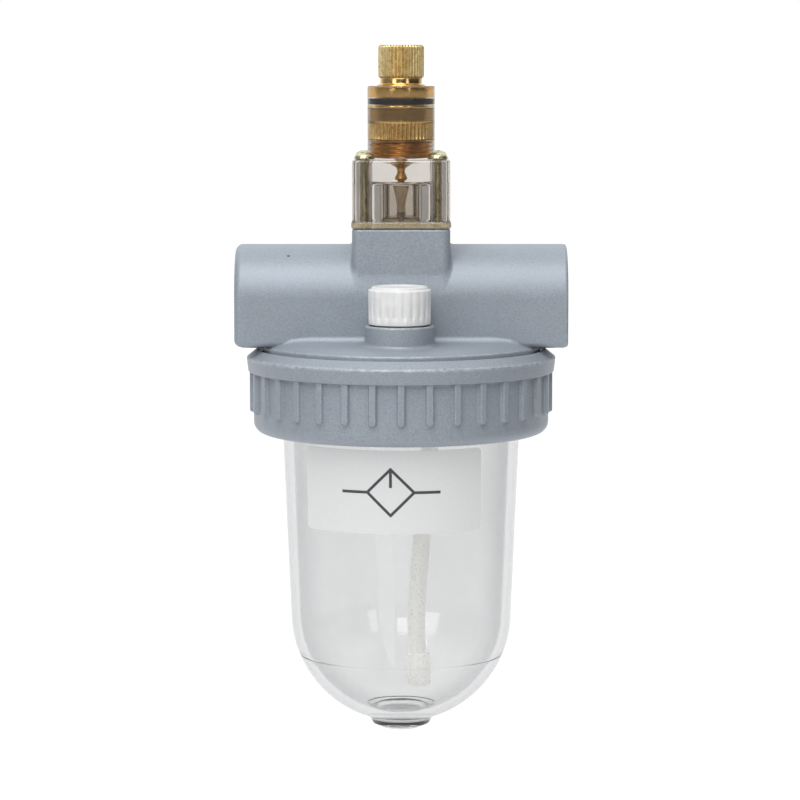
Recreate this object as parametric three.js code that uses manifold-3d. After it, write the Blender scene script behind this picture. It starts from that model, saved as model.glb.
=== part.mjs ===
// In-line oil-mist lubricator for compressed air, G 3/8, with a sight dome, a filler plug and a clear bowl.
// Millimetres, +Z up. The origin is where the port axis (X) crosses the bowl axis (Z). Air runs from -X to +X.
import * as THREE from "three";
import { mergeVertices } from "three/addons/utils/BufferGeometryUtils.js";
import Module from "manifold-3d";

const wasm = await Module();
wasm.setup();

// Driving dimensions.
const GAP = 0.3;
const BARREL = { radius: 14.2, halfLength: 45, roundIn: 2.0, roundOut: 0.8 };
const PORT = { radius: 8.0, depth: 13, mouthRadius: 9.2, mouthDepth: 1.2 };
const PASSAGE_RADIUS = 5.0;
const NECK = { side: 26.5, corner: 2.4, top: 18.8 };
const FLANGE = { top: -11.6, plateau: 33, rim: 37.7, rimTop: -13.3, thread: 37.6, foot: -27.1, roof: -17 };
const HEADSPACE = { roofRadius: 28.5, footRadius: 30.5 };
const HUB = { radius: 13, foot: -24 };
const POST = { radius: 3.1, foot: -16.7, top: 17.2 };
const RECESS = { radius: 12.0, floor: 17.5 };
const RISER = { y: 10, radius: 1.0, level: -20 };
const SIPHON = { x: 8, bore: 2.7, boreTop: -18 };
const FILLER = { x: -0.4, y: -23.2, boss: 9.3, top: -6.1, fillet: 1.5, bore: 6.8, sealBore: 7.9, sealFloor: -7.7 };
const PLUG = { radius: 8.4, top: 4.3, step: 7.45, stepHeight: 0.8, skirt: 1.7, shank: 6.4, length: 7.5 };
const PLUG_FLUTES = { count: 22, depth: 0.45 };
const SCREW = { at: 9.85, shank: 1.45, head: 2.85, headHeight: 2.5, length: 27.3, tapped: 1.75, tappedFloor: 9.5 };
const DOME = { side: 26.5, corner: 2.3, foot: 19.1, flangeSide: 27, flangeTop: 20.6, shoulder: 37.3 };
const TOWER = { radius: 9.15, top: 57.1, bore: 6.6, pocket: 5.3, pocketTop: 42.1, screwHole: 2.05 };
const SIGHT = { radius: 7.4, wallTop: 32, roof: 36.3 };
const OIL_WAY = { radius: 0.5, topY: 6.8, topZ: 50.5 };
const INSERT = { band: 6.3, bandTop: 47.5, thread: 5.0, foot: 36.6, bore: 3.5, boreFloor: 40, nozzleTip: 31.6 };
const KNOB = { radius: 6.4, foot: 59.1, top: 68.1, chamfer: 0.5, neck: 5.7 };
const KNURL = { knobTeeth: 36, bandTeeth: 36, depth: 0.35 };
const NEEDLE_SEAL = { middle: 5.35, section: 0.9, z: 52.9 };
const BOWL = { neck: 32.4, tangent: 30.3, tangentZ: -87.2, wall: 2.5, flange: 36.5, flangeTop: -29.7 };
const BOWL_FLANGE_FOOT = -33.4;
const BOSS = { radius: 8.4, shoulder: -117.0, tip: 5.4, foot: -119.3 };
const COLLAR = { rim: 42.2, rib: 41.4, band: 40.3, bore: 38.0, ledgeBore: 37.0, lipBore: 32.9, foot: -37.1 };
const COLLAR_Z = { lip: -14.2, shoulder: -16.5, rimFoot: -20.3, ribFoot: -29.5, threadFoot: -28, ledge: -33.7 };
const RIBS = { count: 34, width: 2.1, runOut: 2.1 };
const LABEL = { top: -38.6, foot: -61.0, from: -51.3, to: 41.3, stand: 0.15, thickness: 0.3 };
const CUTOFF = { hex: 4.4, headTop: -24.3, foot: -30.4, chamber: 2.0, seat: -18.6, floor: -29.2 };
const CUTOFF_BALL = { radius: 1.6, z: -20.5 };
const CHECK_BALL = { radius: 1.3, z: -25.2 };
const TUBE = { outer: 2.5, inner: 1.8 };
const FINE = 48;
const ROUND = 32;
const SMALL = 20;
const TINY = 10;

const PAINT = { color: 0x96a2ac, roughness: 0.42, metalness: 0.35 };
const BRASS = { color: 0xb8914a, roughness: 0.35, metalness: 1.0 };
const STEEL = { color: 0xb9bcc0, roughness: 0.25, metalness: 1.0 };
const ZINC_YELLOW = { color: 0xb9ab6a, roughness: 0.3, metalness: 1.0 };
const CLEAR = { color: 0xd9dcdc, roughness: 0.08, metalness: 0.0 };
const SMOKED = { color: 0xb9a392, roughness: 0.06, metalness: 0.0 };
const RUBBER = { color: 0x15161a, roughness: 0.7, metalness: 0.0 };
const NYLON = { color: 0xd8d3bd, roughness: 0.45, metalness: 0.0 };
const WHITE = { color: 0xe9eaea, roughness: 0.4, metalness: 0.0 };

// Point lists are [radius, height] pairs. The helper turns a clockwise outline round, so faces always point out.
function outline(pairs) {
  const points = pairs.map(([x, y]) => new THREE.Vector2(x, y));
  return THREE.ShapeUtils.isClockWise(points) ? points.reverse() : points;
}

// A turned piece about Z. A profile that is off the axis at both ends is closed on itself.
function turned(pairs, segments = ROUND) {
  const points = outline(pairs);
  const onAxis = pairs.filter(([radius]) => radius === 0).length;
  if (onAxis === 0) {
    points.push(points[0].clone());
  } else {
    while (points[0].x !== 0 || points.at(-1).x !== 0) points.push(points.shift());
  }
  return new THREE.LatheGeometry(points, segments).rotateX(Math.PI / 2);
}

function arc(centreR, centreZ, radius, fromDeg, toDeg, steps) {
  return Array.from({ length: steps + 1 }, (_, i) => {
    const angle = THREE.MathUtils.degToRad(fromDeg + ((toDeg - fromDeg) * i) / steps);
    return [centreR + radius * Math.cos(angle), centreZ + radius * Math.sin(angle)];
  });
}

function rod(radius, low, high, x = 0, y = 0, segments = SMALL) {
  return new THREE.CylinderGeometry(radius, radius, high - low, segments)
    .rotateX(Math.PI / 2)
    .translate(x, y, (low + high) / 2);
}

// A round bar between two points.
function drill(from, to, radius, segments = 8) {
  const start = new THREE.Vector3(...from);
  const way = new THREE.Vector3(...to).sub(start);
  const turn = new THREE.Quaternion().setFromUnitVectors(new THREE.Vector3(0, 1, 0), way.clone().normalize());
  const middle = start.addScaledVector(way, 0.5);
  return new THREE.CylinderGeometry(radius, radius, way.length(), segments)
    .applyQuaternion(turn)
    .translate(middle.x, middle.y, middle.z);
}

function roundedSquare(side, corner, low, high) {
  const half = side / 2;
  const shape = new THREE.Shape();
  shape.moveTo(half - corner, -half);
  shape.absarc(half - corner, corner - half, corner, -Math.PI / 2, 0, false);
  shape.absarc(half - corner, half - corner, corner, 0, Math.PI / 2, false);
  shape.absarc(corner - half, half - corner, corner, Math.PI / 2, Math.PI, false);
  shape.absarc(corner - half, corner - half, corner, Math.PI, Math.PI * 1.5, false);
  return prism(shape, low, high, 6);
}

function prism(shape, low, high, curveSegments = TINY) {
  return new THREE.ExtrudeGeometry(shape, {
    depth: high - low,
    bevelEnabled: false,
    curveSegments,
  }).translate(0, 0, low);
}

// A ring of teeth: an outline that swings between two radii.
function toothed(count, outer, depth, low, high) {
  const points = Array.from({ length: count * 2 }, (_, i) => {
    const radius = i % 2 ? outer - depth : outer;
    const angle = (Math.PI * i) / count;
    return new THREE.Vector2(radius * Math.cos(angle), radius * Math.sin(angle));
  });
  return prism(new THREE.Shape(points), low, high);
}

function solid(geometry) {
  const bare = new THREE.BufferGeometry().setAttribute("position", geometry.getAttribute("position"));
  if (geometry.index) bare.setIndex(geometry.index);
  const merged = mergeVertices(bare, 1e-4);
  return new wasm.Manifold(
    new wasm.Mesh({
      numProp: 3,
      vertProperties: new Float32Array(merged.attributes.position.array),
      triVerts: new Uint32Array(merged.index.array),
    }),
  );
}

function join(...geometries) {
  return geometries.map(solid).reduce((whole, piece) => whole.add(piece));
}

function cut(whole, ...geometries) {
  return geometries.map(solid).reduce((left, piece) => left.subtract(piece), whole);
}

function surface(manifold) {
  const mesh = manifold.getMesh();
  return new THREE.BufferGeometry()
    .setAttribute("position", new THREE.BufferAttribute(new Float32Array(mesh.vertProperties), 3))
    .setIndex(new THREE.BufferAttribute(new Uint32Array(mesh.triVerts), 1));
}

function part(name, shape, look) {
  const geometry = shape instanceof THREE.BufferGeometry ? shape : surface(shape);
  geometry.computeVertexNormals();
  const mesh = new THREE.Mesh(geometry, new THREE.MeshStandardMaterial({ ...look, flatShading: true }));
  mesh.name = name;
  return mesh;
}

// Body: barrel with two ports, square neck under the dome, threaded flange over the bowl, filler boss.
function barrel() {
  const { radius, halfLength, roundIn, roundOut } = BARREL;
  const profile = [
    [0, -halfLength],
    ...arc(radius - roundIn, roundIn - halfLength, roundIn, -90, 0, 4),
    ...arc(radius - roundOut, halfLength - roundOut, roundOut, 0, 90, 3),
    [0, halfLength],
  ];
  return turned(profile, FINE).rotateY(Math.PI / 2);
}

function flangeAndHub() {
  return turned(
    [
      [0, FLANGE.top],
      [FLANGE.plateau, FLANGE.top],
      [FLANGE.rim, FLANGE.rimTop],
      [FLANGE.rim, FLANGE.rimTop - 2.2],
      [FLANGE.thread, FLANGE.rimTop - 2.8],
      [FLANGE.thread, FLANGE.foot],
      [HEADSPACE.footRadius, FLANGE.foot],
      [HEADSPACE.roofRadius, FLANGE.roof],
      [HUB.radius, FLANGE.roof],
      [HUB.radius, HUB.foot],
      [0, HUB.foot],
    ],
    FINE,
  );
}

function fillerBoss() {
  const { boss, top, fillet } = FILLER;
  const edge = 0.5;
  return turned([
    [0, FLANGE.roof + 0.2],
    [boss + fillet, FLANGE.roof + 0.2],
    ...arc(boss + fillet, FLANGE.top + fillet, fillet, 270, 180, 4),
    [boss, top - edge],
    [boss - edge, top],
    [0, top],
  ]).translate(FILLER.x, FILLER.y, 0);
}

function portBore(side) {
  const { radius, depth, mouthRadius, mouthDepth } = PORT;
  const end = BARREL.halfLength;
  return turned([
    [0, end - depth],
    [radius, end - depth],
    [radius, end - mouthDepth],
    [mouthRadius, end],
    [mouthRadius, end + 1],
    [0, end + 1],
  ]).rotateY((side * Math.PI) / 2);
}

function screwSpots() {
  return [-1, 1].flatMap((sy) => [-1, 1].map((sx) => [sx * SCREW.at, sy * SCREW.at]));
}

function body() {
  const casting = join(
    barrel(),
    roundedSquare(NECK.side, NECK.corner, 0, NECK.top),
    flangeAndHub(),
    fillerBoss(),
  );
  const reach = BARREL.halfLength - PORT.depth + 1;
  const holes = screwSpots().map(([x, y]) => rod(SCREW.tapped, SCREW.tappedFloor, NECK.top + 1, x, y, TINY));
  return cut(
    casting,
    portBore(1),
    portBore(-1),
    drill([-reach, 0, 0], [reach, 0, 0], PASSAGE_RADIUS, SMALL),
    rod(POST.radius + GAP, HUB.foot - 1, NECK.top + 1),
    rod(RECESS.radius, RECESS.floor, NECK.top + 1, 0, 0, ROUND),
    rod(RISER.radius, RISER.level - 1, RECESS.floor + 1, 0, RISER.y, TINY),
    drill([SIPHON.x, 0, RISER.level], [0, RISER.y, RISER.level], RISER.radius),
    rod(SIPHON.bore, HUB.foot - 1, SIPHON.boreTop, SIPHON.x, 0),
    rod(FILLER.bore, FLANGE.roof - 1, FILLER.top + 1, FILLER.x, FILLER.y, ROUND),
    rod(FILLER.sealBore, FILLER.sealFloor, FILLER.top + 1, FILLER.x, FILLER.y, ROUND),
    ...holes,
  );
}

// Post across the air passage: oil leaves it downstream, and air for the bowl enters it upstream.
function nozzlePost() {
  const jet = 0.8;
  const intakeLevel = -3.2;
  const { radius, foot, top } = POST;
  return cut(
    join(rod(radius, foot, top)),
    rod(jet, 0, top + 1, 0, 0, TINY),
    drill([0, 0, 0.9], [radius + 1, 0, 0.9], jet),
    rod(1.2, foot - 1, intakeLevel + 0.9, 0, 0, TINY),
    drill([0, 0, intakeLevel], [-radius - 1, 0, intakeLevel], 0.9),
  );
}

// Cut-off valve under the post: it lets the bowl be opened and filled while the line is under pressure.
function cutoffSeat() {
  const spigotTop = POST.foot - GAP;
  return cut(
    join(rod(POST.radius, CUTOFF.headTop - 0.5, spigotTop), rod(CUTOFF.hex, CUTOFF.foot, CUTOFF.headTop, 0, 0, 6)),
    rod(CUTOFF.chamber, CUTOFF.floor, CUTOFF.seat, 0, 0, TINY),
    rod(0.9, CUTOFF.seat - 1, spigotTop + 1, 0, 0, TINY),
    rod(0.8, CUTOFF.foot - 1, CUTOFF.floor + 1, 0, 0, TINY),
  );
}

class Helix extends THREE.Curve {
  constructor(radius, low, high, turns) {
    super();
    Object.assign(this, { radius, low, high, turns });
  }
  getPoint(t, target = new THREE.Vector3()) {
    const angle = t * this.turns * Math.PI * 2;
    const z = this.low + t * (this.high - this.low);
    return target.set(this.radius * Math.cos(angle), this.radius * Math.sin(angle), z);
  }
}

function cutoffSpring() {
  const wire = 0.22;
  const turns = 5;
  const low = CUTOFF.floor + GAP + wire;
  const high = CUTOFF_BALL.z - CUTOFF_BALL.radius - GAP - wire;
  return new THREE.ExtrudeGeometry(new THREE.Shape().absarc(0, 0, wire, 0, Math.PI * 2, false), {
    steps: turns * 9,
    curveSegments: 3,
    extrudePath: new Helix(1.4, low, high, turns),
  });
}

function ball({ radius, z }, x = 0) {
  return new THREE.SphereGeometry(radius, TINY, 8).rotateX(Math.PI / 2).translate(x, 0, z);
}

// Siphon: adapter with the check valve's chamber, tube bent a little towards the middle, and strainer.
const BARB = { radius: 1.5, foot: -33.6, bore: 0.7 };
const ADAPTER = { head: 3.4, headTop: -24.3, headFoot: -27.6, spigot: 2.4, top: -21.4, chamber: 1.7, seat: -26.8 };

function siphonAdapter() {
  return turned(
    [
      [BARB.bore, BARB.foot],
      [BARB.radius, BARB.foot],
      [BARB.radius, ADAPTER.headFoot],
      [ADAPTER.head, ADAPTER.headFoot],
      [ADAPTER.head, ADAPTER.headTop],
      [ADAPTER.spigot, ADAPTER.headTop],
      [ADAPTER.spigot, ADAPTER.top],
      [ADAPTER.chamber, ADAPTER.top],
      [ADAPTER.chamber, ADAPTER.seat],
      [BARB.bore, ADAPTER.seat],
    ],
    SMALL,
  ).translate(SIPHON.x, 0, 0);
}

function siphonPath() {
  const route = [
    [SIPHON.x, ADAPTER.headFoot - GAP],
    [SIPHON.x, BARB.foot - GAP],
    [7.0, -52],
    [5.2, -72],
    [4.2, -88],
    [4.35, -96],
    [4.8, -104],
  ];
  return new THREE.CatmullRomCurve3(
    route.map(([x, z]) => new THREE.Vector3(x, 0, z)),
    false,
    "centripetal",
  );
}

function siphonTube() {
  const shape = new THREE.Shape().absarc(0, 0, TUBE.outer, 0, Math.PI * 2, false);
  shape.holes.push(new THREE.Path().absarc(0, 0, TUBE.inner, 0, Math.PI * 2, true));
  return new THREE.ExtrudeGeometry(shape, { steps: 14, curveSegments: 6, extrudePath: siphonPath() });
}

function strainer() {
  const wall = 0.5;
  const bore = TUBE.outer + GAP;
  const shell = turned(
    [
      [0.9, -4.0],
      [bore + wall, -4.0],
      [bore + wall, 5.0],
      [bore, 5.0],
      [bore, -GAP],
      [1.9, -GAP],
      [1.9, -3.2],
      [0.9, -3.2],
    ],
    SMALL,
  );
  const path = siphonPath();
  const lean = Math.asin(path.getTangent(1).x);
  const end = path.getPoint(1);
  return shell.rotateY(-lean).translate(end.x, end.y, end.z);
}

// Bowl: tapered cylinder with a round bottom, a drain-free boss below it, and a flange that the collar lifts.
function bowl() {
  const { neck, tangent, tangentZ, wall, flange, flangeTop } = BOWL;
  const bossEdge = -Math.acos(BOSS.radius / tangent) * THREE.MathUtils.RAD2DEG;
  const innerEdge = -86;
  return turned(
    [
      [0, BOSS.foot],
      [BOSS.tip, BOSS.foot],
      [7.0, -118.6],
      [7.9, -118.0],
      [BOSS.radius, BOSS.shoulder],
      ...arc(0, tangentZ, tangent, bossEdge, 0, 7),
      [neck, COLLAR.foot],
      [neck + 0.1, BOWL_FLANGE_FOOT],
      [flange, BOWL_FLANGE_FOOT],
      [flange, flangeTop],
      [neck - wall, flangeTop],
      ...arc(0, tangentZ, tangent - wall, 0, innerEdge, 7),
      [0, tangentZ - tangent + wall],
    ],
    FINE,
  );
}

function bowlGasket() {
  return turned([
    [31.5, -29.4],
    [36.2, -29.4],
    [36.2, -27.4],
    [31.5, -27.4],
  ]);
}

// The outer radius of the bowl's tapered wall at a height.
function bowlRadius(z) {
  return THREE.MathUtils.mapLinear(z, BOWL.tangentZ, COLLAR.foot, BOWL.tangent, BOWL.neck);
}

function label() {
  const { top, foot, from, to, stand, thickness } = LABEL;
  const back = (z) => bowlRadius(z) + stand;
  const ring = turned(
    [
      [back(foot), foot],
      [back(foot) + thickness, foot],
      [back(top) + thickness, top],
      [back(top), top],
    ],
    FINE,
  );
  const far = 60;
  const wedge = new THREE.Shape();
  const steps = 6;
  wedge.moveTo(0, 0);
  for (let i = 0; i <= steps; i += 1) {
    const angle = THREE.MathUtils.degToRad(from + ((to - from) * i) / steps - 90);
    wedge.lineTo(far * Math.cos(angle), far * Math.sin(angle));
  }
  return solid(ring).intersect(solid(prism(wedge, foot - 1, top + 1)));
}

// Collar: ring nut with gripping ribs, which screws on the body's flange and holds the bowl by its flange.
function collarRing() {
  const { rim, band, bore, ledgeBore, lipBore, foot } = COLLAR;
  const { lip, shoulder, rimFoot, threadFoot, ledge } = COLLAR_Z;
  const fillet = 3.0;
  return turned(
    [
      [bore + 1.3, lip],
      [bore, lip - 1.0],
      [bore, threadFoot],
      [ledgeBore, threadFoot],
      [ledgeBore, ledge],
      [lipBore, ledge],
      [lipBore, foot],
      ...arc(band - fillet, foot + fillet, fillet, -90, 0, 4),
      [band, rimFoot - 0.3],
      [rim, rimFoot],
      [rim, shoulder],
    ],
    FINE,
  );
}

function rib(index) {
  const root = COLLAR.band - 0.8;
  const { rib: crest } = COLLAR;
  const { rimFoot, ribFoot } = COLLAR_Z;
  const side = new THREE.Shape([
    new THREE.Vector2(root, ribFoot - RIBS.runOut),
    new THREE.Vector2(COLLAR.band - 0.2, ribFoot - RIBS.runOut),
    new THREE.Vector2(crest, ribFoot),
    new THREE.Vector2(crest, rimFoot + 0.3),
    new THREE.Vector2(root, rimFoot + 0.3),
  ]);
  return prism(side, -RIBS.width / 2, RIBS.width / 2)
    .rotateX(Math.PI / 2)
    .rotateZ((index * 2 * Math.PI) / RIBS.count - Math.PI / 2);
}

function collar() {
  return join(collarRing(), ...Array.from({ length: RIBS.count }, (_, i) => rib(i)));
}

// Sight dome: clear block on four screws, with the round tower that takes the needle valve.
function sightDome() {
  const block = join(
    roundedSquare(DOME.flangeSide, DOME.corner, DOME.foot, DOME.flangeTop),
    roundedSquare(DOME.side, DOME.corner, DOME.flangeTop - 0.5, DOME.shoulder),
    rod(TOWER.radius, DOME.shoulder - 1, TOWER.top, 0, 0, ROUND),
  );
  const chamber = turned([
    [0, DOME.foot - 1],
    [SIGHT.radius, DOME.foot - 1],
    [SIGHT.radius, SIGHT.wallTop],
    [TOWER.pocket, SIGHT.roof],
    [TOWER.pocket, TOWER.pocketTop],
    [TOWER.bore, TOWER.pocketTop],
    [TOWER.bore, TOWER.top - 0.5],
    [TOWER.bore + 0.6, TOWER.top + 0.1],
    [TOWER.bore + 0.6, TOWER.top + 1],
    [0, TOWER.top + 1],
  ]);
  const holes = screwSpots().map(([x, y]) => rod(TOWER.screwHole, DOME.foot - 1, DOME.shoulder + 1, x, y, TINY));
  const oilWay = drill([0, RISER.y, DOME.foot - 0.3], [0, OIL_WAY.topY, OIL_WAY.topZ], OIL_WAY.radius);
  return cut(block, chamber, oilWay, ...holes);
}

function domeGasket() {
  const ring = turned([
    [SIGHT.radius, RECESS.floor + GAP],
    [RECESS.radius - GAP, RECESS.floor + GAP],
    [RECESS.radius - GAP, DOME.foot - GAP],
    [SIGHT.radius, DOME.foot - GAP],
  ]);
  return cut(solid(ring), rod(1.1, RECESS.floor, DOME.foot, 0, RISER.y, TINY));
}

// Funnel that catches each drop and leads it to the post.
function dripFunnel() {
  const foot = RECESS.floor + GAP;
  return turned(
    [
      [0.9, foot],
      [6.9, foot],
      [6.9, 21.4],
      [6.3, 22.0],
      [1.9, 22.0],
      [1.7, 25.0],
      [3.35, 30.1],
      [2.75, 30.1],
      [0.9, 25.4],
    ],
    SMALL,
  );
}

// Brass insert: knurled band, threaded shank and drip nozzle, bored for the needle.
function valveInsert() {
  const { band, bandTop, thread, foot, bore, boreFloor, nozzleTip } = INSERT;
  const bandFoot = TOWER.pocketTop + GAP;
  const core = turned(
    [
      [0, nozzleTip],
      [0.9, nozzleTip],
      [1.3, nozzleTip + 0.9],
      [1.5, foot - 1.8],
      [2.2, foot - 0.8],
      [thread - 0.3, foot],
      [thread, foot + 0.4],
      [thread, bandFoot + 1],
      [band - KNURL.depth - 0.1, bandFoot + 1],
      [band - KNURL.depth - 0.1, bandTop],
      [0, bandTop],
    ],
    SMALL,
  );
  return cut(
    join(core, toothed(KNURL.bandTeeth, band, KNURL.depth, bandFoot, bandTop - 0.2)),
    rod(bore, boreFloor, bandTop + 1),
    rod(1.3, foot, boreFloor + 1, 0, 0, TINY),
    rod(0.6, nozzleTip - 1, foot + 1, 0, 0, TINY),
  );
}

// Needle valve in one piece: needle, threaded stem, sealing shoulder with its groove, and knurled knob.
function needleValve() {
  const shoulder = TOWER.bore - 0.35;
  const waist = 5.0;
  const groove = NEEDLE_SEAL.middle - NEEDLE_SEAL.section - 0.15;
  const grooveLow = NEEDLE_SEAL.z - NEEDLE_SEAL.section - 0.2;
  const grooveHigh = NEEDLE_SEAL.z + NEEDLE_SEAL.section + 0.2;
  const stem = INSERT.bore - GAP;
  const stemFoot = INSERT.boreFloor + GAP;
  const { radius, foot, top, chamfer, neck } = KNOB;
  const core = radius - KNURL.depth - 0.05;
  const spindle = turned([
    [0, stemFoot - 3.1],
    [0.35, stemFoot - 3.1],
    [0.95, stemFoot],
    [stem, stemFoot],
    [stem, INSERT.bandTop + 0.8],
    [waist, INSERT.bandTop + 0.8],
    [waist, grooveLow - 0.8],
    [shoulder, grooveLow - 0.7],
    [shoulder, grooveLow],
    [groove, grooveLow],
    [groove, grooveHigh],
    [shoulder, grooveHigh],
    [shoulder, TOWER.top + 0.2],
    [neck, TOWER.top + 0.5],
    [neck, foot],
    [core - chamfer, foot],
    [core, foot + chamfer],
    [core, top - chamfer],
    [core - chamfer, top],
    [0, top],
  ]);
  return join(spindle, toothed(KNURL.knobTeeth, radius, KNURL.depth, foot + chamfer, top - chamfer));
}

function needleSeal() {
  return new THREE.TorusGeometry(NEEDLE_SEAL.middle, NEEDLE_SEAL.section, 8, SMALL).translate(0, 0, NEEDLE_SEAL.z);
}

// Pan-head screw with a cross recess.
function domeScrew([x, y]) {
  const under = DOME.shoulder + GAP;
  const { shank, head, headHeight, length } = SCREW;
  const screw = turned(
    [
      [0, under - length],
      [shank - 0.4, under - length],
      [shank, under - length + 0.5],
      [shank, under],
      [head, under],
      [head, under + 0.9],
      [head - 0.5, under + 1.8],
      [head - 1.3, under + headHeight - 0.15],
      [0, under + headHeight],
    ],
    TINY + 2,
  );
  const recessDepth = 1.2;
  const arm = (turn) => new THREE.BoxGeometry(3.0, 0.6, recessDepth * 2).rotateZ(turn);
  const recess = [Math.PI / 4, -Math.PI / 4].map((turn) => arm(turn).translate(0, 0, under + headHeight));
  return cut(solid(screw), ...recess).translate([x, y, 0]);
}

function fillerPlug() {
  const { radius, top, step, stepHeight, skirt, shank, length } = PLUG;
  const foot = FILLER.top + GAP;
  const skirtTop = foot + skirt;
  const flutedTop = top - stepHeight;
  const core = turned([
    [0, foot - length],
    [shank - 0.6, foot - length],
    [shank, foot - length + 0.6],
    [shank, foot],
    [radius, foot],
    [radius, skirtTop],
    [radius - 0.8, skirtTop],
    [radius - 0.8, flutedTop],
    [step, flutedTop],
    [step, top],
    [0, top],
  ]);
  const grip = toothed(PLUG_FLUTES.count, radius, PLUG_FLUTES.depth, skirtTop - 0.2, flutedTop);
  return join(core, grip).translate([FILLER.x, FILLER.y, 0]);
}

function fillerSeal() {
  return new THREE.TorusGeometry(7.2, 0.5, 6, SMALL).translate(FILLER.x, FILLER.y, -6.85);
}

const lubricator = new THREE.Group();
lubricator.add(
  part("body", body(), PAINT),
  part("nozzle_post", nozzlePost(), BRASS),
  part("cutoff_seat", cutoffSeat(), BRASS),
  part("cutoff_ball", ball(CUTOFF_BALL), STEEL),
  part("cutoff_spring", cutoffSpring(), STEEL),
  part("siphon_adapter", siphonAdapter(), BRASS),
  part("check_ball", ball(CHECK_BALL, SIPHON.x), STEEL),
  part("siphon_tube", siphonTube(), NYLON),
  part("siphon_strainer", strainer(), NYLON),
  part("bowl", bowl(), CLEAR),
  part("bowl_gasket", bowlGasket(), RUBBER),
  part("label", label(), WHITE),
  part("collar", collar(), PAINT),
  part("sight_dome", sightDome(), SMOKED),
  part("dome_gasket", domeGasket(), RUBBER),
  part("drip_funnel", dripFunnel(), SMOKED),
  part("valve_insert", valveInsert(), BRASS),
  part("needle_valve", needleValve(), BRASS),
  part("needle_o_ring", needleSeal(), RUBBER),
  part("filler_plug", fillerPlug(), WHITE),
  part("filler_plug_o_ring", fillerSeal(), RUBBER),
  ...screwSpots().map((spot, i) => part(`dome_screw_${i + 1}`, domeScrew(spot), ZINC_YELLOW)),
);

export default lubricator;
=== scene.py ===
"""Looks of the in-line oil-mist lubricator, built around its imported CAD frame.

Shapes are worked out in millimetres in the row frame and become metres when a mesh is made. The port axis
is X, the bowl axis is Z, and both pass through the origin. Places and outer sizes come from the CAD nodes'
boxes.
"""

import math
from types import SimpleNamespace as Sizes

import bpy
import numpy as np
import openvdb
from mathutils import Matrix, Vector
from numpy import clip, hypot, maximum, minimum


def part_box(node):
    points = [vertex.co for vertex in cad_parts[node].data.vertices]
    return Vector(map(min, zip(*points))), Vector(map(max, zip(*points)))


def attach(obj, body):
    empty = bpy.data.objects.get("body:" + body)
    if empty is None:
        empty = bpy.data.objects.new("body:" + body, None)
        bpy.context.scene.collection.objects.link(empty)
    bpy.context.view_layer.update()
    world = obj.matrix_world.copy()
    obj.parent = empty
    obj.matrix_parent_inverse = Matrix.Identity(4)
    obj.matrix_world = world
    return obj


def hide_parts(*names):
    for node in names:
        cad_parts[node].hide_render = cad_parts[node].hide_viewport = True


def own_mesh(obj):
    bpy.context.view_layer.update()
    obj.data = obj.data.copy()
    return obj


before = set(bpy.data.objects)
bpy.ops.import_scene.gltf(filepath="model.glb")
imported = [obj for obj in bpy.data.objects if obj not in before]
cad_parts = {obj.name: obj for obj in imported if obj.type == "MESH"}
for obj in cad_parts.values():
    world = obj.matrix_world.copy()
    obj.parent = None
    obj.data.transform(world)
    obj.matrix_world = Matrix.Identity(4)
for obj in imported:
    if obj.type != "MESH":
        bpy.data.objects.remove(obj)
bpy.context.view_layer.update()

MM = 0.001
FULL = 2 * math.pi


class Box:
    """A CAD node's box at rest, in millimetres."""

    def __init__(self, node):
        low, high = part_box(node)
        self.x, self.y = (low.x + high.x) / 2 / MM, (low.y + high.y) / 2 / MM
        self.at = self.x, self.y
        self.foot, self.top = low.z / MM, high.z / MM
        self.half_x, self.half_y = (high.x - low.x) / 2 / MM, (high.y - low.y) / 2 / MM

    def ends(self):
        """The low and high corners of a box that is centred on the bowl axis."""
        return (-self.half_x, -self.half_y, self.foot), (self.half_x, self.half_y, self.top)


# ---------------------------------------------------------------- pieces

def add_object(name, data):
    obj = bpy.data.objects.new(name, data)
    bpy.context.scene.collection.objects.link(obj)
    return obj


def piece(name, points, faces, body, material, stands_for=(), normals=None, at=(0, 0), crease=38):
    """A mesh object from points in millimetres, riding on a body. at moves it sideways."""
    mesh = bpy.data.meshes.new(name)
    shift = np.array([at[0], at[1], 0.0])
    mesh.from_pydata(((np.asarray(points) + shift) * MM).tolist(), [], faces)
    mesh.validate()
    mesh.materials.append(material)
    mesh.shade_smooth()
    obj = add_object(name, mesh)
    if normals is None:
        mesh.set_sharp_from_angle(angle=math.radians(crease))
        weighted = obj.modifiers.new("normals", "WEIGHTED_NORMAL")
        weighted.keep_sharp = True
    else:
        mesh.normals_split_custom_set_from_vertices(normals)
    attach(obj, body)
    if stands_for:
        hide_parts(*stands_for)
    return obj


def mesh_value(obj, name, values):
    """Stores one number at each vertex, for a material to read."""
    attribute = obj.data.attributes.new(name, "FLOAT", "POINT")
    attribute.data.foreach_set("value", np.asarray(values, np.float32))


# ---------------------------------------------------------------- turned pieces

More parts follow.
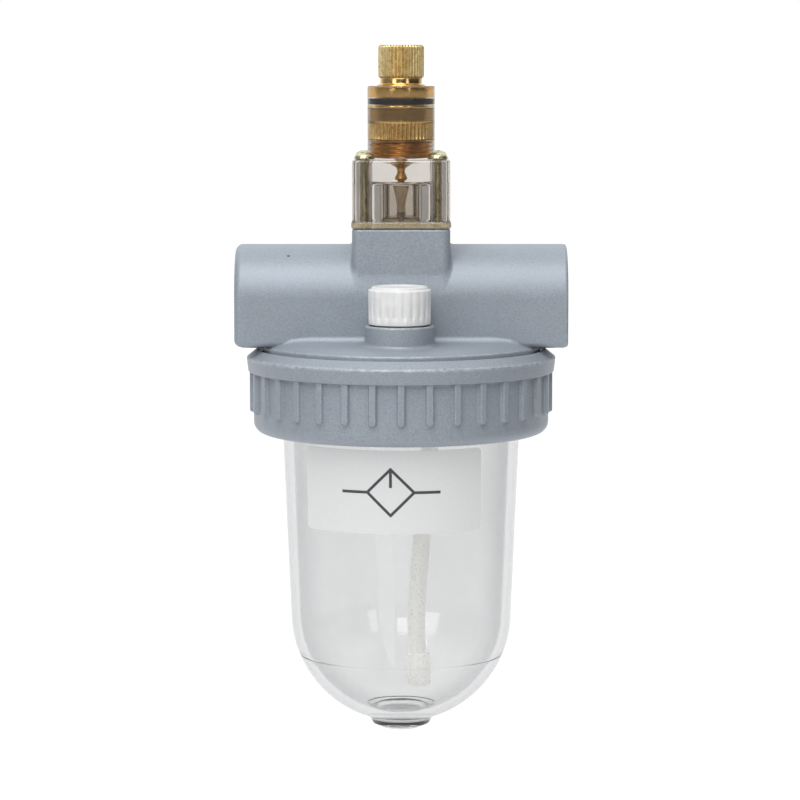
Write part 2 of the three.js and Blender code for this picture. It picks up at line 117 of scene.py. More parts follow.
def rounded(corners, closed=False, steps=5):
    """An outline with rounded corners (radius, height, fillet). One without a fillet stays sharp."""
    out = []
    count = len(corners)
    for i, corner in enumerate(corners):
        point = np.array(corner[:2], float)
        fillet = corner[2] if len(corner) > 2 else 0
        if fillet == 0 or (not closed and i in (0, count - 1)):
            out.append(point)
            continue
        back = np.array(corners[i - 1][:2], float) - point
        ahead = np.array(corners[(i + 1) % count][:2], float) - point
        back_length, ahead_length = np.linalg.norm(back), np.linalg.norm(ahead)
        back, ahead = back / back_length, ahead / ahead_length
        half = math.acos(clip(back @ ahead, -1, 1)) / 2
        if half > 1.55:
            out.append(point)
            continue
        reach = min(fillet / math.tan(half), 0.48 * back_length, 0.48 * ahead_length)
        radius = reach * math.tan(half)
        middle = (back + ahead) / np.linalg.norm(back + ahead)
        centre = point + middle * radius / math.sin(half)
        start = point + back * reach - centre
        end = point + ahead * reach - centre
        first = math.atan2(start[1], start[0])
        sweep = (math.atan2(end[1], end[0]) - first + math.pi) % FULL - math.pi
        for k in range(steps + 1):
            angle = first + sweep * k / steps
            out.append(centre + radius * np.array([math.cos(angle), math.sin(angle)]))
    return np.array(out)


def dense(outline, step, low=-1e9, high=1e9, closed=False):
    """The outline with extra points, no further apart than step, on the stretches between two heights."""
    ends = np.vstack([outline, outline[:1]]) if closed else outline
    out = [ends[0]]
    for a, b in zip(ends[:-1], ends[1:]):
        inside = min(a[1], b[1]) >= low - 1e-6 and max(a[1], b[1]) <= high + 1e-6
        parts = max(1, math.ceil(np.linalg.norm(b - a) / step)) if inside else 1
        out += [a + (b - a) * k / parts for k in range(1, parts + 1)]
    return np.array(out[:-1] if closed else out)


def arc(centre_r, centre_z, radius, start, end, steps):
    angles = np.radians(np.linspace(start, end, steps + 1))
    return [(centre_r + radius * math.cos(a), centre_z + radius * math.sin(a)) for a in angles]


def turn(outline, angles=96, relief=None, closed=False):
    """Points and faces of an outline turned about Z. relief(angle, radius, height) gives the radius."""
    theta = np.linspace(0, FULL, angles, endpoint=False) if np.isscalar(angles) else np.asarray(angles)
    radius, height = outline[:, :1], outline[:, 1:2]
    around = radius + 0 * theta if relief is None else relief(theta[None, :], radius, height)
    grid = np.stack([around * np.cos(theta), around * np.sin(theta), height + 0 * theta], axis=2)
    points = grid.reshape(-1, 3)
    rows, columns = len(outline), len(theta)
    index = np.arange(rows * columns).reshape(rows, columns)
    for row in (0, rows - 1):
        if not closed and outline[row, 0] < 1e-6:
            index[row, :] = index[row, 0]
    if closed:
        index = np.vstack([index, index[:1]])
    quads = skin(index)
    faces = [list(dict.fromkeys(quad)) for quad in quads.tolist()]
    return compact(points, faces, outward(points, quads))


def skin(index):
    """Faces between neighbouring rows of points, closed all round."""
    right = np.roll(index, -1, axis=1)
    return np.stack([index[:-1], right[:-1], right[1:], index[1:]], axis=2).reshape(-1, 4)


def sweep(path, across, up, radius, around):
    """Rings of points round a path. across and up are the two directions of each ring."""
    ring = np.linspace(0, FULL, around, endpoint=False)[None, :, None]
    return path[:, None] + radius * (np.cos(ring) * across[:, None] + np.sin(ring) * np.array(up))


def outward(points, quads):
    """True if the faces point out: the volume that they close is positive."""
    a, b, c, d = (points[quads[:, k]] for k in range(4))
    volume = np.einsum("ij,ij->", a, np.cross(b, c)) + np.einsum("ij,ij->", a, np.cross(c, d))
    return volume > 0


def compact(points, faces, keep_order):
    """Drops the points that no face uses, and turns the faces round unless keep_order."""
    used = np.unique(np.concatenate([np.asarray(face) for face in faces]))
    place = np.full(len(points), -1)
    place[used] = np.arange(len(used))
    step = 1 if keep_order else -1
    return points[used], [[int(place[i]) for i in face[::step]] for face in faces if len(face) > 2]


def fade(value, low, high, soft):
    """1 between low and high, falling smoothly to 0 over soft outside them."""
    rise = clip((value - low) / soft + 1, 0, 1)
    fall = clip((high - value) / soft + 1, 0, 1)
    rise, fall = rise * rise * (3 - 2 * rise), fall * fall * (3 - 2 * fall)
    return rise * fall


def ridge(turns, root, flank):
    """0 at the roots and 1 at the crests of a ridge that returns at every whole turn."""
    return clip((abs(turns % 1 - 0.5) * 2 - root) / flank, 0, 1)


def thread_wave(angle, height, pitch):
    """A right-hand thread, with small flats."""
    return ridge(height / pitch - angle / FULL, 0.15, 0.7)


def teeth(angle, count):
    """A straight knurl."""
    return ridge(angle * count / FULL, 0.1, 0.65)


# ---------------------------------------------------------------- distance fields

def join(a, b, fillet):
    """Union of two distances with a round fillet between them."""
    return maximum(fillet, minimum(a, b)) - hypot(maximum(fillet - a, 0), maximum(fillet - b, 0))


def meet(a, b, edge):
    """Intersection of two distances with a rounded edge."""
    return minimum(-edge, maximum(a, b)) + hypot(maximum(edge + a, 0), maximum(edge + b, 0))


def cut(a, b, edge):
    return meet(a, -b, edge)


def slab(value, low, high):
    return abs(value - (low + high) / 2) - (high - low) / 2


def bar(across, along, radius, low, high, edge=0.05):
    return meet(across - radius, slab(along, low, high), edge)


def corner_of(a, b, corner):
    """Intersection of two square sides whose corner is an arc."""
    a, b = a + corner, b + corner
    return hypot(maximum(a, 0), maximum(b, 0)) + minimum(maximum(a, b), 0) - corner


def square(x, y, half, corner):
    return corner_of(abs(x) - half, abs(y) - half, corner)


def slope(points, field, reach):
    """The field's direction at each point, from four samples around it."""
    corners = np.array([[1, -1, -1], [-1, -1, 1], [-1, 1, -1], [1, 1, 1]], float)
    total = np.zeros_like(points)
    for corner in corners:
        total += corner * field(*(points + corner * reach).T)[:, None]
    return total / (4 * reach)


def carve(field, low, high, voxel):
    """Points, faces and normals of the surface where the field is 0."""
    axes = [np.arange(a - 2.5 * voxel, b + 3.5 * voxel, voxel, dtype=np.float32) for a, b in zip(low, high)]
    values = field(axes[0][:, None, None], axes[1][None, :, None], axes[2][None, None, :])
    values = np.broadcast_to(values, [len(a) for a in axes]) / voxel
    grid = openvdb.FloatGrid(3.0)
    grid.copyFromArray(clip(values, -3, 3).astype(np.float32))
    grid.transform = openvdb.createLinearTransform(voxelSize=1.0)
    points, quads = grid.convertToQuads()
    points = np.asarray(points, float) * voxel + np.array([a[0] for a in axes], float)
    for _ in range(2):
        direction = slope(points, field, 0.02)
        size = maximum((direction**2).sum(1), 0.05)
        step = clip(field(*points.T) / size, -voxel, voxel)
        points = points - direction * step[:, None]
    normals = slope(points, field, 0.04)
    normals /= maximum(np.linalg.norm(normals, axis=1), 1e-9)[:, None]
    quads = np.asarray(quads)
    if not outward(points, quads):
        quads = quads[:, ::-1]
    return points, quads.tolist(), normals


def carved(name, field, ends, voxels, material, node):
    """A carved piece on the housing. voxels gives the quick and the full voxel size; the quick one is not
    used.
    """
    points, faces, normals = carve(field, *ends, voxels[1])
    points = clip(points, *ends)
    return points, faces, piece(name, points, faces, "housing", material, [node], normals)


def bend(points, field, reach):
    """How far the surface is from flat: above 0 on edges, below 0 in hollows."""
    around = -6 * field(*points.T)
    for axis in range(3):
        for side in (-reach, reach):
            moved = points.copy()
            moved[:, axis] += side
            around += field(*moved.T)
    return around / reach


# ---------------------------------------------------------------- materials

class Nodes:
    """Short names for the nodes of one tree."""

    def __init__(self, tree, coordinates):
        self.tree = tree
        self.where = self.node("ShaderNodeTexCoord").outputs[coordinates]

    def node(self, kind, inputs=None, **settings):
        made = self.tree.nodes.new(kind)
        for name, value in settings.items():
            setattr(made, name, value)
        for name, value in (inputs or {}).items():
            self.feed(made.inputs[name], value)
        return made

    def feed(self, socket, value):
        if isinstance(value, bpy.types.NodeSocket):
            self.tree.links.new(value, socket)
        else:
            socket.default_value = value

    def remap(self, value, low, high, to_low=0.0, to_high=1.0):
        inputs = {"Value": value, "From Min": low, "From Max": high, "To Min": to_low, "To Max": to_high}
        return self.node("ShaderNodeMapRange", inputs).outputs["Result"]

    def math(self, operation, a, b=0.5):
        made = self.node("ShaderNodeMath", operation=operation)
        self.feed(made.inputs[0], a)
        self.feed(made.inputs[1], b)
        return made.outputs["Value"]


class Look(Nodes):
    """A Principled material. uniform gives the sockets that have one value all over."""

    def __init__(self, name, **uniform):
        self.material = bpy.data.materials.new(name)
        self.material.use_nodes = True
        super().__init__(self.material.node_tree, "Object")
        self.shader = self.tree.nodes["Principled BSDF"]
        for socket, value in uniform.items():
            self.shader.inputs[socket.replace("_", " ")].default_value = value

    def noise(self, size_mm, detail=2.0, rough=0.5, stretch=None):
        """Soft noise from 0 to 1 whose blobs are about that size."""
        where = self.where
        if stretch:
            where = self.node("ShaderNodeMapping", {"Vector": where, "Scale": stretch}).outputs["Vector"]
        inputs = {"Vector": where, "Scale": 1 / (size_mm * MM), "Detail": detail, "Roughness": rough}
        return self.node("ShaderNodeTexNoise", inputs).outputs["Fac"]

    def spots(self, size_mm):
        inputs = {"Vector": self.where, "Scale": 1 / (size_mm * MM)}
        return self.node("ShaderNodeTexVoronoi", inputs).outputs["Distance"]

    def value(self, name):
        return self.node("ShaderNodeAttribute", attribute_name=name).outputs["Fac"]

    def mix(self, share, a, b):
        made = self.node("ShaderNodeMix", data_type="RGBA")
        self.feed(made.inputs["Factor"], share)
        self.feed(made.inputs["A"], a)
        self.feed(made.inputs["B"], b)
        return made.outputs["Result"]

    def bump(self, height, depth_mm, strength=1.0, over=None):
        inputs = {"Height": height, "Distance": depth_mm * MM, "Strength": strength}
        if over is not None:
            inputs["Normal"] = over
        return self.node("ShaderNodeBump", inputs).outputs["Normal"]

    def colour(self, value):
        self.feed(self.shader.inputs["Base Color"], value)

    def roughness(self, value):
        self.feed(self.shader.inputs["Roughness"], value)

    def normal(self, value):
        self.feed(self.shader.inputs["Normal"], value)


def rgb(red, green, blue):
    return (red, green, blue, 1.0)


def cast_paint():
    look = Look("cast_paint", Metallic=0.24, Specular_IOR_Level=0.5)
    grain = look.noise(0.42, 3, 0.65)
    flake = look.noise(0.16, 1, 0.5)
    cloud = look.noise(11, 3, 0.5)
    paint = look.mix(look.remap(grain, 0.34, 0.66), rgb(0.265, 0.300, 0.345), rgb(0.355, 0.395, 0.445))
    paint = look.mix(look.remap(flake, 0.62, 0.78, 0, 0.45), paint, rgb(0.62, 0.65, 0.68))
    paint = look.mix(look.remap(cloud, 0.35, 0.75, 0, 0.28), paint, rgb(0.27, 0.30, 0.34))
    patchy = look.math("MULTIPLY", look.value("edge"), look.remap(look.noise(1.6, 4, 0.7), 0.42, 0.62))
    paint = look.mix(look.math("MULTIPLY", patchy, 0.5), paint, rgb(0.60, 0.63, 0.66))
    # Darker paint in hollows and creases, read from an attribute: painted shade, with some grime.
    shade_and_grime = look.math("MULTIPLY", look.value("shade_grime"), look.remap(look.noise(2.5, 3, 0.6), 0.3, 0.7, 0.4, 1))
    paint = look.mix(look.math("MULTIPLY", shade_and_grime, 0.22), paint, rgb(0.15, 0.165, 0.185))
    chips = look.remap(look.spots(8.5), 0.035, 0.055, 1, 0)
    chips = look.math("MULTIPLY", chips, look.remap(cloud, 0.50, 0.54))
    look.colour(look.mix(chips, paint, rgb(0.085, 0.060, 0.045)))
    look.roughness(look.remap(grain, 0.3, 0.7, 0.36, 0.52))
    coarse = look.bump(look.noise(0.9, 2, 0.5), 0.05, 0.55)
    look.normal(look.bump(grain, 0.045, 0.7, coarse))
    return look.material


def brass(name, rough, dark, light):
    """Brass that is worn and pitted. The attribute oiled turns it towards the brown of old oil; shaded paints
    a dark brown shade.
    """
    look = Look(name, Metallic=1.0)
    blotch = look.noise(1.5, 4, 0.62)
    fine = look.noise(0.22, 3, 0.7)
    metal = look.mix(look.remap(blotch, 0.3, 0.7), dark, light)
    tarnish = look.remap(look.noise(0.6, 5, 0.75), 0.50, 0.72, 0, 0.55 + rough)
    metal = look.mix(tarnish, metal, rgb(0.25, 0.15, 0.05))
    metal = look.mix(look.value("oiled"), metal, rgb(0.60, 0.31, 0.085))
    # Painted shade: the attribute shaded turns the brass dark brown.
    metal = look.mix(look.value("shaded"), metal, rgb(0.17, 0.095, 0.04))
    pits = look.remap(look.spots(0.62), 0.12, 0.26, 0.75, 0.0)
    pits = look.math("MULTIPLY", pits, look.remap(look.noise(1.2, 3, 0.6), 0.42, 0.60))
    look.colour(look.mix(pits, metal, rgb(0.07, 0.045, 0.02)))
    look.roughness(look.remap(fine, 0.3, 0.7, rough, rough + 0.18))
    look.normal(look.bump(fine, 0.02, 0.5, look.bump(pits, 0.05, -0.5)))
    return look.material


def zinc_yellow():
    look = Look("zinc_yellow", Metallic=1.0)
    tint = look.noise(1.8, 3, 0.55)
    warm = look.mix(look.remap(tint, 0.32, 0.68), rgb(0.44, 0.40, 0.20), rgb(0.78, 0.74, 0.52))
    stain = look.remap(look.noise(0.9, 4, 0.7), 0.55, 0.75, 0, 0.5)
    look.colour(look.mix(stain, warm, rgb(0.36, 0.30, 0.22)))
    look.roughness(look.remap(look.noise(0.3, 3, 0.6), 0.3, 0.7, 0.14, 0.32))
    look.normal(look.bump(look.noise(0.2, 2, 0.5), 0.008, 0.4))
    return look.material


def plain(name, cloud, colours, spread=(0.3, 0.7), rough=(0.3, 0.5), rough_by=None,
          bump=(0.02, 0.4), bump_by=None, **uniform):
    """Two colours mixed by a noise. cloud, rough_by and bump_by are what noise() takes."""
    look = Look(name, **uniform)
    base = look.noise(*cloud)
    look.colour(look.mix(look.remap(base, *spread), rgb(*colours[0]), rgb(*colours[1])))
    look.roughness(look.remap(look.noise(*rough_by) if rough_by else base, 0.3, 0.7, *rough))
    if bump:
        look.normal(look.bump(look.noise(*bump_by) if bump_by else base, *bump))
    return look.material


def steel(name, light):
    colours = (light * 0.8, light * 0.8, light * 0.82), (light, light, light)
    cloud = 0.35, 4, 0.6, (1, 1, 0.25)
    return plain(name, cloud, colours, (0, 1), (0.10, 0.26), bump=(0.004, 0.3), Metallic=1.0)


def white_plastic():
    look = Look("white_plastic", Subsurface_Weight=0.25, Subsurface_Scale=0.002, Specular_IOR_Level=0.45,
                Subsurface_Radius=(1.0, 0.95, 0.9))
    cloud = look.noise(3.0, 3, 0.5)
    base = look.mix(look.remap(cloud, 0.3, 0.7), rgb(0.71, 0.715, 0.71), rgb(0.79, 0.795, 0.79))
    specks = look.remap(look.spots(1.9), 0.03, 0.07, 0.35, 0.0)
    look.colour(look.mix(specks, base, rgb(0.52, 0.51, 0.47)))
    look.roughness(look.remap(look.noise(0.7, 3, 0.6), 0.3, 0.7, 0.30, 0.44))
    look.normal(look.bump(look.noise(0.3, 3, 0.6), 0.012, 0.45))
    return look.material


def label_film():
    # The label glows a little: painted light that lifts it where the ring nut shades it.
    look = Look("label_film", Specular_IOR_Level=0.5, Emission_Strength=0.24, Emission_Color=rgb(1, 1, 1))
    fibre = look.noise(0.5, 4, 0.65)
    look.colour(look.mix(look.remap(fibre, 0.3, 0.7), rgb(0.47, 0.475, 0.475), rgb(0.51, 0.515, 0.515)))
    look.roughness(look.remap(look.noise(6, 3, 0.5), 0.3, 0.7, 0.34, 0.50))
    look.normal(look.bump(look.noise(5, 3, 0.5), 0.05, 0.25, look.bump(fibre, 0.006, 0.3)))
    return look.material


def clear_bowl():
    look = Look("clear_bowl", Transmission_Weight=1.0, IOR=1.585)
    haze = look.noise(14, 4, 0.6)
    clear = look.mix(look.remap(haze, 0.3, 0.7), rgb(0.825, 0.830, 0.832), rgb(0.855, 0.858, 0.860))
    # Darker grey where the surface turns away from view: painted shade along the bowl's outline.
    facing = look.node("ShaderNodeLayerWeight", {"Blend": 0.5}).outputs["Facing"]
    look.colour(look.mix(look.remap(facing, 0.32, 0.80), clear, rgb(0.42, 0.43, 0.44)))
    scuffs = look.remap(look.noise(1.2, 5, 0.8, stretch=(1, 1, 0.2)), 0.64, 0.74, 0.0, 0.05)
    look.roughness(look.math("ADD", scuffs, 0.012))
    look.normal(look.bump(look.noise(9, 3, 0.5), 0.06, 0.25))
    return look.material


def smoked_dome():
    look = Look("smoked_dome", Transmission_Weight=1.0, IOR=1.50)
    cloud = look.noise(7, 3, 0.5)
    thin = look.mix(look.remap(cloud, 0.3, 0.7), rgb(0.80, 0.76, 0.70), rgb(0.87, 0.84, 0.79))
    thick = look.mix(look.remap(cloud, 0.3, 0.7), rgb(0.62, 0.585, 0.54), rgb(0.71, 0.675, 0.63))
    tint = look.mix(look.value("thick"), thin, thick)
    look.colour(look.mix(look.value("chamber"), tint, rgb(0.575, 0.525, 0.46)))
    scuffs = look.remap(look.noise(0.6, 4, 0.75), 0.60, 0.72, 0.0, 0.10)
    look.roughness(look.math("ADD", scuffs, 0.02))
    look.normal(look.bump(look.noise(3.5, 3, 0.5), 0.06, 0.35))
    return look.material


PAINT = cast_paint()
BRASS = brass("brass", 0.33, rgb(0.64, 0.47, 0.19), rgb(0.90, 0.73, 0.41))
BRIGHT_BRASS = brass("brass_bright", 0.07, rgb(0.74, 0.47, 0.16), rgb(0.88, 0.62, 0.27))
OLD_BRASS = brass("brass_dull", 0.22, rgb(0.74, 0.49, 0.16), rgb(0.92, 0.68, 0.29))
ZINC = zinc_yellow()
BALL_STEEL = steel("ball_steel", 0.80)
SPRING_STEEL = steel("spring_steel", 0.60)
RUBBER = plain(
    "nitrile_rubber", (1.1, 4, 0.6), ((0.011, 0.011, 0.012), (0.035, 0.034, 0.034)), (0.4, 0.75),
    (0.34, 0.55), bump=(0.01, 0.4), bump_by=(0.18, 3, 0.6), Specular_IOR_Level=0.4
)
WHITE = white_plastic()
# The nylon glows a little: painted light that brightens the tube and strainer seen through the bowl.
NYLON = plain(
    "nylon", (2.5, 3, 0.5, (1, 1, 0.3)), ((0.90, 0.895, 0.87), (0.96, 0.955, 0.94)), rough=(0.24, 0.40),
    rough_by=(0.5, 3, 0.6), bump=(0.012, 0.4), bump_by=(0.4, 2, 0.5, (1, 1, 0.15)),
    Transmission_Weight=0.35, IOR=1.53, Emission_Strength=0.20, Emission_Color=rgb(1, 1, 0.98)
)
FILM = label_film()
INK = plain(
    "label_ink", (0.25, 3, 0.6), ((0.045, 0.047, 0.052), (0.09, 0.092, 0.10)), rough=(0.40, 0.55), bump=None,
    Specular_IOR_Level=0.4
)
CLEAR = clear_bowl()
SMOKED = smoked_dome()
DRIP = plain(
    "drip_plastic", (2.5, 3, 0.5), ((0.80, 0.70, 0.57), (0.90, 0.82, 0.70)), rough=(0.05, 0.16),
    rough_by=(0.6, 3, 0.6), bump=(0.01, 0.3), bump_by=(1.0, 2, 0.5), Transmission_Weight=0.90, IOR=1.49
)

# The bowl's boss where the gate was ground off, the tower's oily bore and the dome's foot on its gasket.
FROSTED = plain(
    "frosted_gate", (0.5, 3, 0.6), ((0.80, 0.80, 0.79), (0.90, 0.90, 0.89)), (0, 1), (0.40, 0.60),
    Transmission_Weight=0.35, IOR=1.585
)
OILY = plain(
    "oily_bore", (1.6, 4, 0.65, (1, 1, 0.5)), ((0.55, 0.30, 0.08), (0.84, 0.58, 0.24)), rough=(0.10, 0.28),
    Transmission_Weight=0.75, IOR=1.50
)
STAINED = plain(
    "stained_foot", (2.4, 4, 0.6), ((0.66, 0.55, 0.37), (0.82, 0.71, 0.50)), rough=(0.12, 0.28),
    Transmission_Weight=0.70, IOR=1.50
)


# ---------------------------------------------------------------- housing

BARREL = Sizes(radius=14.2, round_in=2.0, round_out=0.8)
PORT = Sizes(minor=7.75, depth=13.0, thread=0.6, pitch=1.337, mouth=9.2, passage=5.0)
NECK = Sizes(half=13.25, corner=2.4, recess=12.0, floor=17.5, screws=9.85, tapped=1.75)
FLANGE = Sizes(top=-11.6, plateau=33.0, rim_top=-13.3, roof=-17.0, thread=0.6, pitch=2.0)
WALL = Sizes(foot=-12.9, corner=1.5, fillet=1.9)
HEADSPACE = Sizes(roof=28.5)
HUB = Sizes(radius=13.0, foot=-24.0, post=3.4, siphon_x=8.0, siphon=2.7, siphon_top=-18.0)
FILLER = Sizes(boss=9.3, top=-6.1, bore=6.8, seal_bore=7.9, seal_floor=-7.7)
RISER = Sizes(y=10.0, radius=1.0, level=-20.0)


def housing_field(box, filler):
    half, neck_top, foot, rim = box.half_x, box.top, box.foot, box.half_y
    drop = (FLANGE.top - FLANGE.rim_top) / (rim - FLANGE.plateau)
    tilt = math.hypot(1, drop)

    def field(x, y, z):
        barrel_r, bowl_r = hypot(y, z), hypot(x, y)
        end = np.where(x < 0, BARREL.round_in, BARREL.round_out)
        radius, corner = BARREL.radius, WALL.corner
        wall = corner_of(abs(y) - radius, slab(z, WALL.foot, corner), corner)
        shape = meet(minimum(barrel_r - radius, wall), abs(x) - half, end)
        neck = meet(square(x, y, NECK.half, NECK.corner), slab(z, 0, neck_top), 0.45)
        shape = join(shape, neck, 0.9)
        turn_angle = np.arctan2(y, x)
        crest = rim - 0.1 - FLANGE.thread * (1 - thread_wave(turn_angle, z, FLANGE.pitch))
        in_thread = clip((FLANGE.rim_top - 2.6 - z) / 0.5, 0, 1)
        side = (bowl_r - (rim + (crest - rim) * in_thread)) * 0.85
        slanted = (z - FLANGE.top + (bowl_r - FLANGE.plateau) * drop) / tilt
        disc = meet(meet(z - FLANGE.top, slanted, 0.9), side, 0.35)
        disc = meet(disc, foot - z, 0.4)
        space_r = HEADSPACE.roof + (FLANGE.roof - z) * 0.2
        disc = cut(disc, meet(bowl_r - space_r, z - FLANGE.roof, 2.0), 0.4)
        disc = join(disc, bar(bowl_r, z, HUB.radius, HUB.foot, FLANGE.roof + 2, 0.5), 1.2)
        boss_r = hypot(x - filler.x, y - filler.y)
        near_rim = clip((FLANGE.plateau + 3 - bowl_r) / 3, 0.2, 1)
        shape = join(shape, disc, WALL.fillet * near_rim)
        shape = join(shape, bar(boss_r, z, FILLER.boss, FLANGE.roof + 0.2, FILLER.top, 0.55), 1.2)
        port_angle = np.arctan2(z, y)
        deep = abs(x) - (half - PORT.depth)
        bore = PORT.minor + PORT.thread * (1 - thread_wave(port_angle, abs(x), PORT.pitch))
        mouth = maximum(clip(bore, PORT.minor, None), PORT.mouth - (half - abs(x)))
        shape = cut(shape, meet((barrel_r - mouth) * 0.85, -deep, 0.3), 0.2)
        shape = cut(shape, meet(barrel_r - PORT.passage, -deep - PORT.depth - half, 0.3), 0.3)
        shape = cut(shape, bar(bowl_r, z, HUB.post, HUB.foot - 2, neck_top + 2), 0.25)
        shape = cut(shape, bar(bowl_r, z, NECK.recess, NECK.floor, neck_top + 2), 0.15)
        screws = hypot(abs(x) - NECK.screws, abs(y) - NECK.screws)
        shape = cut(shape, bar(screws, z, NECK.tapped, 9.5, neck_top + 2), 0.15)
        riser = bar(hypot(x, y - RISER.y), z, RISER.radius, RISER.level - 1, neck_top)
        shape = cut(shape, riser, 0.2)
        siphon = bar(hypot(x - HUB.siphon_x, y), z, HUB.siphon, HUB.foot - 2, HUB.siphon_top)
        shape = cut(shape, siphon, 0.2)
        along = (x * -HUB.siphon_x + y * RISER.y) / math.hypot(HUB.siphon_x, RISER.y)
        reach = HUB.siphon_x * RISER.y / math.hypot(HUB.siphon_x, RISER.y)
        off_line = (x * RISER.y + y * HUB.siphon_x) / math.hypot(HUB.siphon_x, RISER.y) - reach
        gallery = hypot(off_line, z - RISER.level)
        shape = cut(shape, bar(gallery, along, RISER.radius, -5.0, 7.8), 0.2)
        shape = cut(shape, bar(boss_r, z, FILLER.bore, FLANGE.roof - 2, FILLER.top + 2), 0.3)
        return cut(shape, bar(boss_r, z, FILLER.seal_bore, FILLER.seal_floor, FILLER.top + 2), 0.25)

    return field


def make_housing():
    box, filler = Box("body"), Box("filler_plug")
    field = housing_field(box, filler)
    points, _, housing = carved("housing_casting", field, box.ends(), (0.6, 0.3), PAINT, "body")
    turned = bend(points, field, 0.5)
    mesh_value(housing, "edge", clip((turned - 0.25) / 0.9, 0, 1))
    # Painted shade and grime in the hollows and creases of the casting.
    mesh_value(housing, "shade_grime", clip((-turned - 0.15) / 0.9, 0, 1))


# ---------------------------------------------------------------- ring nut

RIM = Sizes(shoulder=2.3, lip=39.3, height=6.1)
NUT = Sizes(band=40.3, bore=38.0, ledge_bore=37.0, lip_bore=32.9, fillet=3.0)
NUT_Z = Sizes(thread_foot=9.1, ledge=3.4, rib_foot=5.75)
RIBS = Sizes(count=34, height=1.1, half_width=1.0, edge=0.42)


def make_ring_nut():
    box = Box("collar")
    rim, foot, top = box.half_x, box.foot, box.top
    rim_foot = top - RIM.height
    outline = rounded([
        (RIM.lip, top, 0.35), (rim, top - RIM.shoulder, 0.6), (rim - 0.45, rim_foot, 0.35),
        (NUT.band, rim_foot - 0.3, 0.4), (NUT.band, foot, NUT.fillet), (NUT.lip_bore, foot, 0.4),
        (NUT.lip_bore, foot + NUT_Z.ledge, 0.3), (NUT.ledge_bore, foot + NUT_Z.ledge, 0.3),
        (NUT.ledge_bore, foot + NUT_Z.thread_foot, 0.3), (NUT.bore, foot + NUT_Z.thread_foot, 0.2),
        (NUT.bore, top - 1.0, 0.3),
    ], closed=True, steps=6)
    outline = dense(outline, 0.26, foot, top, closed=True)
    pitch = FULL / RIBS.count
    offsets = np.array([0, 0.35, 0.62, 0.78, 0.9, 1.02, 1.14, 1.3, 1.55, 2.2, 3.0]) / NUT.band
    one = np.concatenate([-offsets[:0:-1], offsets, [pitch / 2]])
    angles = np.concatenate([one + k * pitch - math.pi / 2 for k in range(RIBS.count)])
    rib_end = foot + NUT_Z.rib_foot + RIBS.half_width

    def from_rib(angle):
        return ((angle + math.pi / 2 + pitch / 2) % pitch - pitch / 2) * NUT.band

    def relief(angle, radius, height):
        side = from_rib(angle)
        outside = hypot(side, maximum(rib_end - height, 0)) - RIBS.half_width
        rise = clip((RIBS.edge / 2 - outside) / RIBS.edge, 0, 1)
        rib = NUT.band + RIBS.height * rise * rise * (3 - 2 * rise)
        is_band = (radius > NUT.band - 0.5) & (height < rim_foot + 0.1)
        outer = np.where(is_band & (rise > 0), maximum(radius, rib), radius + 0 * angle)
        depth = 0.75 * fade(height, foot + NUT_Z.thread_foot + 0.8, top - 1.6, 0.5)
        female = radius + depth * (1 - thread_wave(angle, height, FLANGE.pitch))
        in_bore = abs(radius - NUT.bore) < 0.01
        return np.where(in_bore, female, outer)

    points, faces = turn(outline, angles, relief, closed=True)
    nut = piece("ring_nut", points, faces, "ring_nut", PAINT, ["collar"], crease=60)
    distance = hypot(points[:, 0], points[:, 1])
    side = from_rib(np.arctan2(points[:, 1], points[:, 0]))
    crest = clip((distance - NUT.band - 0.9) / 0.3, 0, 1) * fade(abs(side), 0.7, 0.95, 0.15)
    crest = crest * (points[:, 2] < rim_foot - 0.3)
    shoulder = fade(points[:, 2], top - RIM.shoulder - 0.3, top - RIM.shoulder + 0.3, 0.4)
    mesh_value(nut, "edge", maximum(crest * 0.8, shoulder * (distance > rim - 0.6)))
    # Painted shade along the feet of the ribs and under the overhang of the rim.
    rib_foot_shade = clip(1 - abs(abs(side) - 1.35) / 0.5, 0, 1) * (abs(distance - NUT.band) < 0.2)
    under_rim_shade = fade(points[:, 2], rim_foot - 0.9, rim_foot - 0.25, 0.4) * (distance < rim - 0.4)
    mesh_value(nut, "shade_grime", clip(rib_foot_shade * 0.5 + under_rim_shade * 0.7, 0, 1))


# ---------------------------------------------------------------- bowl and label

BOWL = Sizes(wall=2.5, tangent=30.3, tangent_z=-87.2, neck=32.4, neck_z=-37.1, flange_foot=3.7)
BOSS = Sizes(radius=8.4, shoulder=2.3, tip=5.4)
LABEL = Sizes(first=-51.3, last=41.3, stand=0.15, thickness=0.22, corner=1.3)


def bowl_radius(height):
    share = (height - BOWL.tangent_z) / (BOWL.neck_z - BOWL.tangent_z)
    return BOWL.tangent + share * (BOWL.neck - BOWL.tangent)


